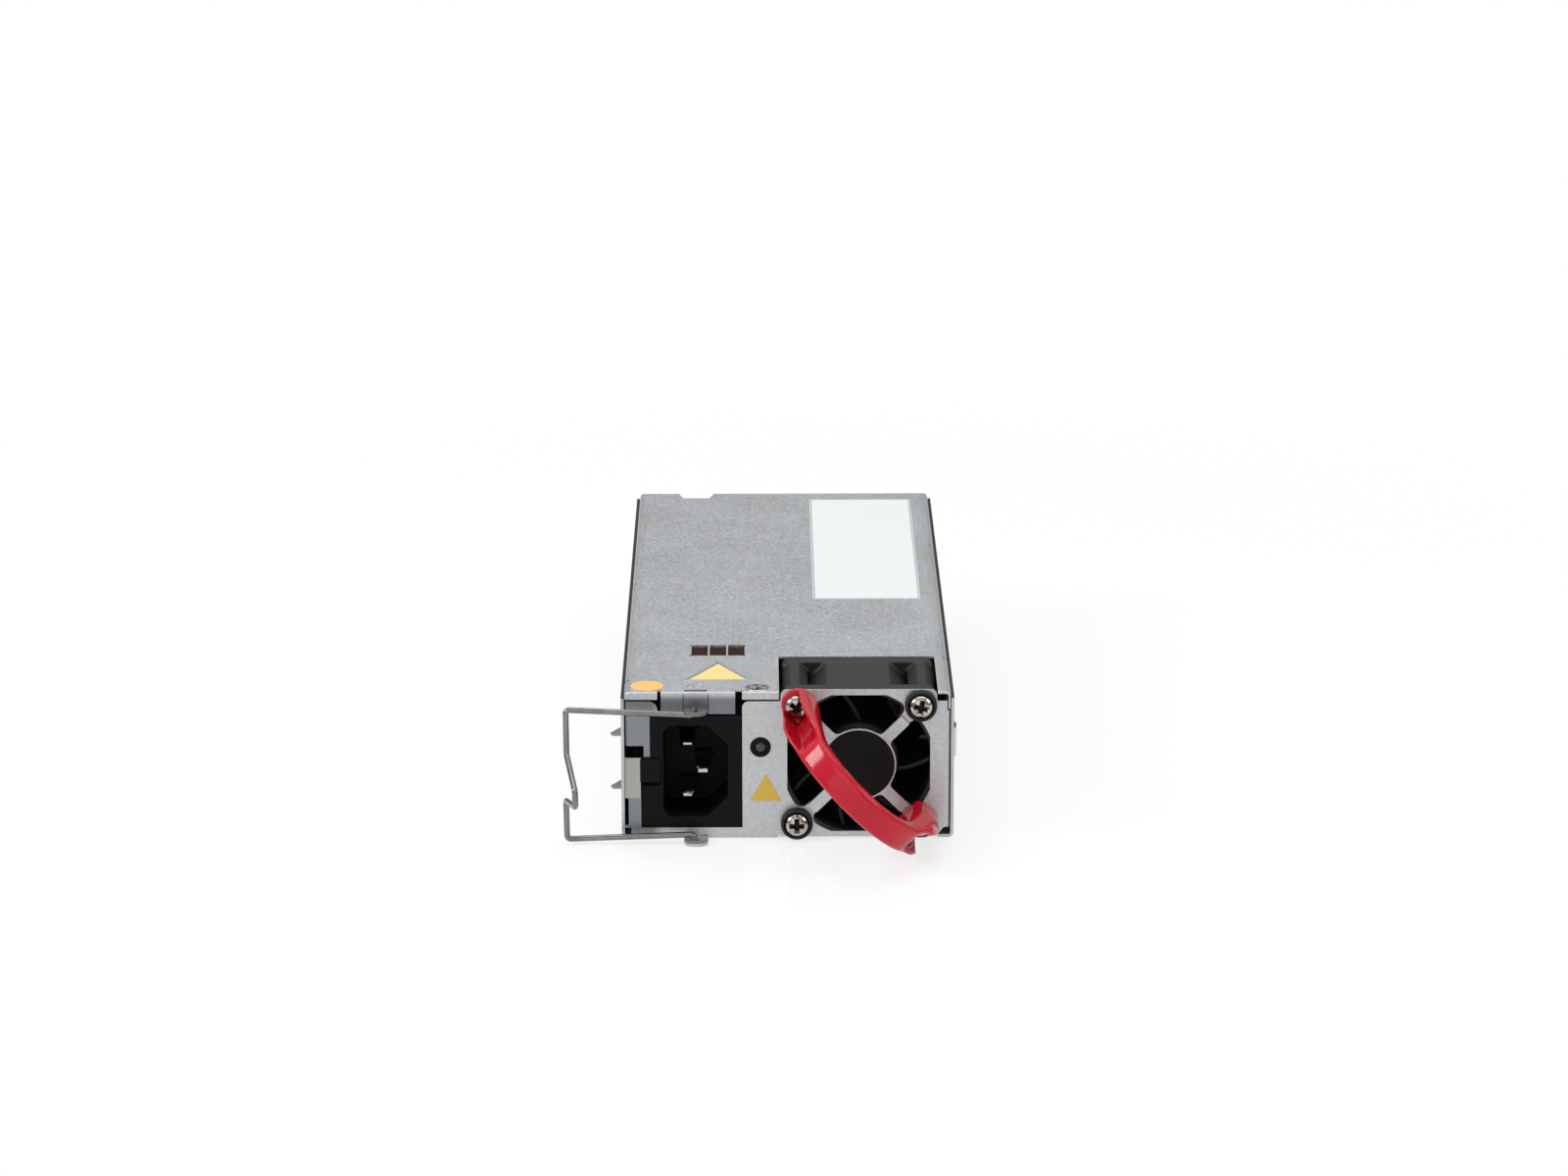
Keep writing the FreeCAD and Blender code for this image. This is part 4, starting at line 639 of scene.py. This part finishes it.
def blade_pin(shape, x, z, tip, face_w, face_t):
    """A flat blade along Y with a coined tip, and its round tail."""
    rings = [(tip, face_w / 2, face_t / 2),
             (tip + PIN_COINED, PIN_HALF_WIDE, PIN_HALF_THICK),
             (PIN_ROOT, PIN_HALF_WIDE, PIN_HALF_THICK)]
    corners = []
    for y, half_w, half_t in rings:
        corners.append([shape.verts.new(((x + a * half_w) * MM, y * MM, (z + b * half_t) * MM))
                        for a, b in ((-1, -1), (1, -1), (1, 1), (-1, 1))])
    shape.faces.new(corners[0])
    shape.faces.new(corners[2])
    for first, second in zip(corners, corners[1:]):
        for side in range(4):
            after = (side + 1) % 4
            shape.faces.new((first[side], first[after], second[after], second[side]))
    tail = bmesh.ops.create_cone(shape, cap_ends=True, segments=20, radius1=TAIL_RADIUS * MM,
                                 radius2=TAIL_RADIUS * MM, depth=TAIL_LONG * MM)
    middle = Vector((x, PIN_END - TAIL_LONG / 2, z))
    turn = Matrix.Translation(middle * MM) @ Matrix.Rotation(math.pi / 2, 4, "X")
    bmesh.ops.transform(shape, matrix=turn, verts=tail["verts"])


shape = bmesh.new()
middle_z = sum(corner.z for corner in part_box("inlet_pins")) / 2 / MM
LIVE_X = -25.9
for z in (middle_z + PIN_PITCH / 2, middle_z - PIN_PITCH / 2):
    blade_pin(shape, LIVE_X, z, -95.4, 2.1, 0.5)
blade_pin(shape, LIVE_X + EARTH_OFF, middle_z, -96.4, 2.3, 0.9)
bmesh.ops.recalc_face_normals(shape, faces=shape.faces)
pins_holder = placed("pins_raw", mesh_of(shape, "pins_raw"))
soften = pins_holder.modifiers.new("Edges", "BEVEL")
soften.width = 0.12 * MM
soften.segments = 2
soften.limit_method = "ANGLE"
piece_from(evaluated(pins_holder, "pins"), "pins", pin_plating, "housing", ["inlet_pins"],
           smooth=30.0)

# %% [markdown]
# The latch's tab ends in a small black pad for the thumb. It moves with the latch, a little in
# front of the inlet's face, and its rounded edges draw a thin line in the black.

# %% Thumb pad on the latch
pad_low, pad_high = Vector((-38.15, -98.0, 15.7)) * MM, Vector((-33.0, -97.42, 21.8)) * MM
shape = bmesh.new()
bmesh.ops.create_cube(shape, size=1.0)
spread = Matrix.Diagonal((*(pad_high - pad_low), 1.0))
bmesh.ops.transform(shape, matrix=Matrix.Translation((pad_low + pad_high) / 2) @ spread,
                    verts=shape.verts)
bmesh.ops.bevel(shape, geom=shape.edges[:], offset=0.12 * MM, segments=3, affect="EDGES",
                profile=0.5)
latch_pad = piece_from(mesh_of(shape, "latch_pad"), "latch_pad", inlet_black, "latch")

# %% [markdown]
# ## Wire bail
# The bail is one length of spring wire bent on a former: straight runs joined by small round
# bends. A path of runs and arcs with a round bevel gives it, and closed ends finish it.


# %% Wire bail
def bent_path(points, radii, steps=10):
    """Points along straight runs whose corners are rounded, in mm."""
    spots = [Vector(point) for point in points]
    path = [spots[0]]
    for before, corner, after, radius in zip(spots, spots[1:], spots[2:], radii):
        into = (before - corner).normalized()
        out = (after - corner).normalized()
        half_turn = (math.pi - into.angle(out)) / 2
        centre = corner + (into + out).normalized() * (radius / math.cos(half_turn))
        start = corner + into * radius * math.tan(half_turn) - centre
        end = corner + out * radius * math.tan(half_turn) - centre
        for step in range(steps + 1):
            path.append(centre + start.slerp(end, step / steps))
    path.append(spots[-1])
    return path


def wire_mesh(path, radius_mm, name):
    """A round wire along a path, as a mesh."""
    curve = bpy.data.curves.new(name, "CURVE")
    curve.dimensions = "3D"
    curve.bevel_depth = radius_mm * MM
    curve.bevel_resolution = 6
    curve.use_fill_caps = True
    run = curve.splines.new("POLY")
    run.points.add(len(path) - 1)
    for point, spot in zip(run.points, path):
        point.co = (*(spot * MM), 1.0)
    return evaluated(placed(name, curve), name)


WIRE_RADIUS = 0.78
REACH_X, CROOK_X = -57.3, -54.2        # how far out the wire and its crook stand
CROOK_FORWARD = 12.5                   # how far the crook stands in front of the hinge
hinge = Vector(frame["joints"][0]["pos_m"]) / MM
crook_y = hinge.y - CROOK_FORWARD
bail_points = [
    (hinge.x, hinge.y, 0.1), (hinge.x, hinge.y, 2.6), (REACH_X, hinge.y, 0.9),
    (REACH_X, hinge.y, 12.0), (CROOK_X, crook_y, 12.6), (CROOK_X, crook_y, 19.0),
    (REACH_X, hinge.y, 23.4), (REACH_X, hinge.y, 36.4), (hinge.x, hinge.y, 34.3),
    (hinge.x, hinge.y, 36.7)]
bail_path = bent_path(bail_points, [1.3, 1.2, 1.2, 2.0, 2.4, 2.4, 1.2, 1.3])
piece_from(wire_mesh(bail_path, WIRE_RADIUS, "bail"), "bail_wire", wire_steel, "bail",
           ["wire_bail"], smooth=60.0)

# %% [markdown]
# ## Fan impeller
# A fan blade follows a rule: from root to tip it turns flatter to the axis. A Geometry Nodes
# tree makes one blade from a grid, gives it thickness, and repeats it round the hub. Its inputs
# are the sizes that a fan designer would change.


# %% Node tree helper
class Tree:
    """A Geometry Nodes tree with named inputs."""

    def __init__(self, name, inputs):
        self.group = bpy.data.node_groups.new(name, "GeometryNodeTree")
        self.sockets = {}
        for label, (kind, value) in inputs.items():
            socket = self.group.interface.new_socket(label, in_out="INPUT", socket_type=kind)
            if value is not None:
                socket.default_value = value
            self.sockets[label] = socket.identifier
        self.group.interface.new_socket("Geometry", in_out="OUTPUT",
                                        socket_type="NodeSocketGeometry")
        self.start = self.group.nodes.new("NodeGroupInput")
        self.end = self.group.nodes.new("NodeGroupOutput")

    def value(self, label):
        """The output of a named input."""
        return self.start.outputs[label]

    def node(self, kind, settings, sockets, output=0):
        """Adds a node, its settings first, and returns one of its outputs."""
        made = self.group.nodes.new(kind)
        for name, value in settings.items():
            setattr(made, name, value)
        for key, value in sockets.items():
            socket = made.inputs[key]
            if isinstance(value, bpy.types.NodeSocket):
                self.group.links.new(value, socket)
            else:
                socket.default_value = value
        return made.outputs[output]

    def maths(self, operation, *values):
        return self.node("ShaderNodeMath", {"operation": operation}, dict(enumerate(values)))

    def finish(self, geometry, material):
        """Ends the tree: real meshes, one material."""
        real = self.node("GeometryNodeRealizeInstances", {}, {0: geometry})
        painted = self.node("GeometryNodeSetMaterial", {}, {"Geometry": real,
                                                            "Material": material})
        self.group.links.new(painted, self.end.inputs[0])

    def run(self, name, values):
        """The plain mesh that the tree makes with these input values."""
        holder = placed(name, bpy.data.meshes.new(name))
        nodes_modifier = holder.modifiers.new("Nodes", "NODES")
        nodes_modifier.node_group = self.group
        for label, value in values.items():
            nodes_modifier[self.sockets[label]] = value
        return evaluated(holder, name)


# %% Blade tree
blade_tree = Tree("BladeRing", {
    "Blades": ("NodeSocketInt", 7), "Root": ("NodeSocketFloat", 0.0103),
    "Tip": ("NodeSocketFloat", 0.0182), "Length": ("NodeSocketFloat", 0.0165),
    "Root sweep": ("NodeSocketFloat", 0.62), "Tip sweep": ("NodeSocketFloat", 0.80),
    "Thickness": ("NodeSocketFloat", 0.0009), "Front": ("NodeSocketFloat", 0.0),
    "Lean": ("NodeSocketFloat", -0.24), "Start": ("NodeSocketFloat", -0.02)})
sheet = blade_tree.node("GeometryNodeMeshGrid", {}, {
    "Size X": 1.0, "Size Y": 1.0, "Vertices X": 14, "Vertices Y": 8})
spot = blade_tree.node("GeometryNodeInputPosition", {}, {})
axes = blade_tree.group.nodes.new("ShaderNodeSeparateXYZ")
blade_tree.group.links.new(spot, axes.inputs[0])
along = blade_tree.maths("ADD", axes.outputs[0], 0.5)
outward = blade_tree.maths("ADD", axes.outputs[1], 0.5)
span = blade_tree.maths("SUBTRACT", blade_tree.value("Tip"), blade_tree.value("Root"))
radius = blade_tree.maths("MULTIPLY_ADD", outward, span, blade_tree.value("Root"))
sweep_gain = blade_tree.maths("SUBTRACT", blade_tree.value("Tip sweep"),
                              blade_tree.value("Root sweep"))
sweep = blade_tree.maths("MULTIPLY_ADD", outward, sweep_gain, blade_tree.value("Root sweep"))
bowed = blade_tree.maths("POWER", along, 1.35)
turned = blade_tree.maths("MULTIPLY_ADD", bowed, sweep, blade_tree.value("Start"))
angle = blade_tree.maths("MULTIPLY_ADD", outward, blade_tree.value("Lean"), turned)
across = blade_tree.maths("MULTIPLY", radius, blade_tree.maths("SINE", angle))
upward = blade_tree.maths("MULTIPLY", radius, blade_tree.maths("COSINE", angle))
depth = blade_tree.maths("MULTIPLY_ADD", along, blade_tree.value("Length"),
                         blade_tree.value("Front"))
twisted = blade_tree.node("ShaderNodeCombineXYZ", {}, {0: across, 1: depth, 2: upward})
blade = blade_tree.node("GeometryNodeSetPosition", {}, {"Geometry": sheet, "Position": twisted})
thick = blade_tree.node("GeometryNodeExtrudeMesh", {"mode": "FACES"}, {
    "Mesh": blade, "Offset Scale": blade_tree.value("Thickness"), "Individual": False})
under = blade_tree.node("GeometryNodeFlipFaces", {}, {"Mesh": blade})
both = blade_tree.group.nodes.new("GeometryNodeJoinGeometry")
blade_tree.group.links.new(under, both.inputs[0])
blade_tree.group.links.new(thick, both.inputs[0])
solid = blade_tree.node("GeometryNodeMergeByDistance", {}, {"Geometry": both.outputs[0],
                                                            "Distance": 1e-7})
ring = blade_tree.node("GeometryNodeMeshLine", {}, {"Count": blade_tree.value("Blades"),
                                                    "Offset": (0.0, 0.0, 0.0)})
number = blade_tree.node("GeometryNodeInputIndex", {}, {})
step = blade_tree.maths("DIVIDE", math.tau, blade_tree.value("Blades"))
turn = blade_tree.node("ShaderNodeCombineXYZ", {}, {1: blade_tree.maths("MULTIPLY", number, step)})
copies = blade_tree.node("GeometryNodeInstanceOnPoints", {}, {
    "Points": ring, "Instance": solid, "Rotation": turn})
blade_tree.finish(copies, blade_black.material)

# %% [markdown]
# The motor cup in the middle is turned on the lathe and joined to the blades.

# %% Impeller
rotor_low, rotor_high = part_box("fan_impeller")
rotor_front, rotor_rear = rotor_low.y / MM, rotor_high.y / MM
hub = (rotor_low + rotor_high) / 2
HUB_RADIUS, CUP_BORE, CUP_FLOOR, CUP_EDGE = 10.5, 9.2, 1.3, 1.6
blades = blade_tree.run("blades", {"Front": (rotor_front + CUP_EDGE) * MM})
cup = lathe([(rotor_front, 0.0), (rotor_front, 9.2), (rotor_front + 0.3, 9.9),
             (rotor_front + 0.9, 10.4), (rotor_front + CUP_EDGE, HUB_RADIUS),
             (rotor_rear, HUB_RADIUS), (rotor_rear, CUP_BORE),
             (rotor_front + CUP_FLOOR, CUP_BORE), (rotor_front + CUP_FLOOR, 0.0)], 72, "cup")
shape = bmesh.new()
shape.from_mesh(blades)
shape.from_mesh(cup)
bmesh.ops.transform(shape, matrix=Matrix.Translation((hub.x, 0.0, hub.z)), verts=shape.verts)
piece_from(mesh_of(shape, "impeller"), "impeller", blade_black, "fan_rotor", ["fan_impeller"],
           smooth=35.0)

# %% [markdown]
# ## Fan screws
# Four pan head screws hold the fan. One screw is turned on the lathe and its cross recess is cut
# with two tapered bars. A tree then sets it on the corners of a square whose side is the fan's
# hole pitch.

# %% One screw
frame_low, frame_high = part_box("fan_frame")
fan = (frame_low + frame_high) / 2
head_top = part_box("fan_screws")[0].y / MM
head = lathe([(head_top, 0.0), (head_top + 0.05, 1.0), (head_top + 0.3, 2.0),
              (head_top + 0.8, 2.75), (head_top + 1.35, 3.05), (head_top + 2.0, 3.1),
              (head_top + 2.2, 3.02), (head_top + 2.2, 1.7), (head_top + 11.0, 1.7),
              (head_top + 11.2, 1.4), (head_top + 11.2, 0.0)], 48, "head")


def driver_mesh(top, name):
    """The cross shaped tip of a screwdriver: two crossed bars that narrow with depth."""
    shape = bmesh.new()
    for quarter in (0.0, math.pi / 2):
        made = bmesh.ops.create_cube(shape, size=1.0)
        for vertex in made["verts"]:
            deep = vertex.co.y > 0
            vertex.co.x *= 2.6 if deep else 4.9
            vertex.co.z *= 0.85 if deep else 1.4
            vertex.co.y = top + (1.6 if deep else -0.3)
        turn = Matrix.Rotation(quarter, 4, "Y") @ Matrix.Scale(MM, 4)
        bmesh.ops.transform(shape, matrix=turn, verts=made["verts"])
    bmesh.ops.recalc_face_normals(shape, faces=shape.faces)
    return mesh_of(shape, name)


def crossed(turned, top, name):
    """Cuts the cross recess in a turned screw and marks it, so that the finish can paint shade
    into it.
    """
    blank = placed(name + "_blank", turned)
    driver = placed("driver", driver_mesh(top, "driver"))
    recess = blank.modifiers.new("Recess", "BOOLEAN")
    recess.operation = "DIFFERENCE"
    recess.solver = "EXACT"
    recess.use_self = True
    recess.object = driver
    edge_break = blank.modifiers.new("Edges", "BEVEL")
    edge_break.width = 0.06 * MM
    edge_break.segments = 2
    edge_break.limit_method = "ANGLE"
    mesh = evaluated(blank, name)
    bpy.data.objects.remove(driver)
    # marks the recess, where the finish paints shade
    recess_shade_mark = mesh.attributes.new("recess", "FLOAT", "POINT")
    for vertex, mark in zip(mesh.vertices, recess_shade_mark.data):
        deep = vertex.co.y / MM - top
        wide = math.hypot(vertex.co.x, vertex.co.z) / MM
        mark.value = 1.0 if 0.22 < deep < 1.8 and wide < 1.95 else 0.0
    return mesh


screw = placed("screw", crossed(head, head_top, "screw_mesh"))

# %% The screws on their square
HOLE_PITCH = 32.0
screw_tree = Tree("SquareOfScrews", {
    "Screw": ("NodeSocketObject", None), "Pitch": ("NodeSocketFloat", 0.032),
    "Turn": ("NodeSocketFloat", 0.6)})
square = screw_tree.node("GeometryNodeMeshGrid", {}, {
    "Size X": screw_tree.value("Pitch"), "Size Y": screw_tree.value("Pitch"),
    "Vertices X": 2, "Vertices Y": 2})
stood = screw_tree.node("GeometryNodeTransform", {}, {
    "Geometry": square, "Rotation": (math.pi / 2, 0.0, 0.0)})
source = screw_tree.node("GeometryNodeObjectInfo", {}, {"Object": screw_tree.value("Screw")},
                         "Geometry")
which = screw_tree.node("GeometryNodeInputIndex", {}, {})
spun = screw_tree.node("ShaderNodeCombineXYZ", {}, {
    1: screw_tree.maths("MULTIPLY", which, screw_tree.value("Turn"))})
screws = screw_tree.node("GeometryNodeInstanceOnPoints", {}, {
    "Points": stood, "Instance": source, "Rotation": spun})
screw_tree.finish(screws, nickel.material)
screws_mesh = screw_tree.run("fan_screws_mesh", {"Screw": screw, "Pitch": HOLE_PITCH * MM})
bpy.data.objects.remove(screw)
screws_mesh.transform(Matrix.Translation((fan.x, 0.0, fan.z)))
piece_from(screws_mesh, "fan_screw_set", nickel, "housing", ["fan_screws"], smooth=30.0)

# %% [markdown]
# The screw in the cover is a countersunk one of the same make. It is turned and cut in the same
# way, then stood upright in its dimple.

# %% Countersunk cover screw
cover_low, cover_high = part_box("cover_screw")
screw_spot = (cover_low + cover_high) / 2
screw_spot.z = cover_high.z
flush = lathe([(0.0, 0.0), (0.0, 2.5), (0.12, 2.85), (0.4, 2.95), (1.35, 1.6), (1.6, 1.45),
               (4.3, 1.45), (4.3, 0.0)], 48, "flush")
flush_mesh = crossed(flush, 0.0, "flush_screw_mesh")
stood_up = Matrix.Rotation(-math.pi / 2, 4, "X") @ Matrix.Rotation(0.35, 4, "Y")
flush_mesh.transform(Matrix.Translation(screw_spot) @ stood_up)
piece_from(flush_mesh, "cover_head", nickel, "housing", ["cover_screw"], smooth=30.0)

# %% [markdown]
# ## Floor and light
# A glossy white table and a white room. The lamps are soft: a large one overhead for the cover,
# a large one in front for the panel, and a smaller one on each side, like two windows.

# %% Floor
floor_finish = Finish("floor_white", (0.9, 0.9, 0.905), 0.05)
floor_finish.set("Roughness", floor_finish.noise(400.0) * 0.02 + 0.03)
away = floor_finish.node("VectorMath", {"operation": "LENGTH"}, {0: floor_finish.place}, "Value")
far_off = floor_finish.node("MapRange", {"interpolation_type": "SMOOTHSTEP"}, {
    0: away, 1: 0.13, 2: 0.4, 3: 0.72, 4: 1.0})
seen_by = floor_finish.node("LightPath", {}, {}, "Is Camera Ray")
mirrored = floor_finish.node("LightPath", {}, {}, "Is Glossy Ray")
glow = floor_finish.node("Emission", {}, {"Color": (1.0, 1.0, 1.0, 1.0), "Strength": 1.0},
                         "Emission")
blend = floor_finish.node("MixShader", {}, {0: far_off * (seen_by + mirrored), 2: glow}, "Shader")
floor_finish.tree.links.new(floor_finish.shader.outputs[0], blend.socket.node.inputs[1])
floor_finish.tree.links.new(blend.socket, floor_finish.tree.nodes["Material Output"].inputs[0])
shape = bmesh.new()
bmesh.ops.create_grid(shape, x_segments=1, y_segments=1, size=6.0)
floor_mesh = mesh_of(shape, "floor")
floor_mesh.transform(Matrix.Translation((0.0, 0.0, -0.0002)))
floor_mesh.materials.append(floor_finish.material)
floor = placed("floor", floor_mesh)

# %% Light
def softbox(name, place, aim, width, height, power):
    """A rectangular area light turned towards a point, in metres and watts."""
    lamp = bpy.data.lights.new(name, "AREA")
    lamp.shape = "RECTANGLE"
    lamp.size = width
    lamp.size_y = height
    lamp.energy = power
    holder = placed(name, lamp)
    holder.location = place
    holder.rotation_mode = "QUATERNION"
    holder.rotation_quaternion = (Vector(aim) - Vector(place)).to_track_quat("-Z", "Y")


softbox("overhead", (0.0, 0.25, 1.3), (0.0, 0.0, 0.0), 1.5, 1.5, 11.0)
softbox("front_fill", (-0.3, -1.6, 0.5), (0.0, -0.1, 0.02), 1.5, 1.1, 5.0)
softbox("window_left", (-0.99, -0.31, 0.655), (0.0, -0.1, 0.02), 0.42, 0.42, 6.5)
softbox("window_right", (1.01, -0.38, 0.62), (0.0, -0.1, 0.02), 0.42, 0.5, 3.0)

world = bpy.data.worlds.new("Room")
bpy.context.scene.world = world
world.use_nodes = True
room = world.node_tree
sky = room.nodes["Background"]
sky.inputs["Color"].default_value = (1.0, 1.0, 1.0, 1.0)
rays = room.nodes.new("ShaderNodeLightPath")
ahead = room.nodes.new("ShaderNodeTexCoord")
height = room.nodes.new("ShaderNodeSeparateXYZ")
room.links.new(ahead.outputs["Generated"], height.inputs[0])
ceiling = room.nodes.new("ShaderNodeMapRange")
for label, value in (("From Min", 0.0), ("From Max", 0.5), ("To Min", 0.12), ("To Max", 0.62)):
    ceiling.inputs[label].default_value = value
room.links.new(height.outputs[2], ceiling.inputs["Value"])
seen = room.nodes.new("ShaderNodeMath")
seen.operation = "MAXIMUM"
room.links.new(rays.outputs["Is Camera Ray"], seen.inputs[0])
room.links.new(ceiling.outputs[0], seen.inputs[1])
room.links.new(seen.outputs[0], sky.inputs["Strength"])
bpy.context.scene.view_settings.view_transform = "Standard"
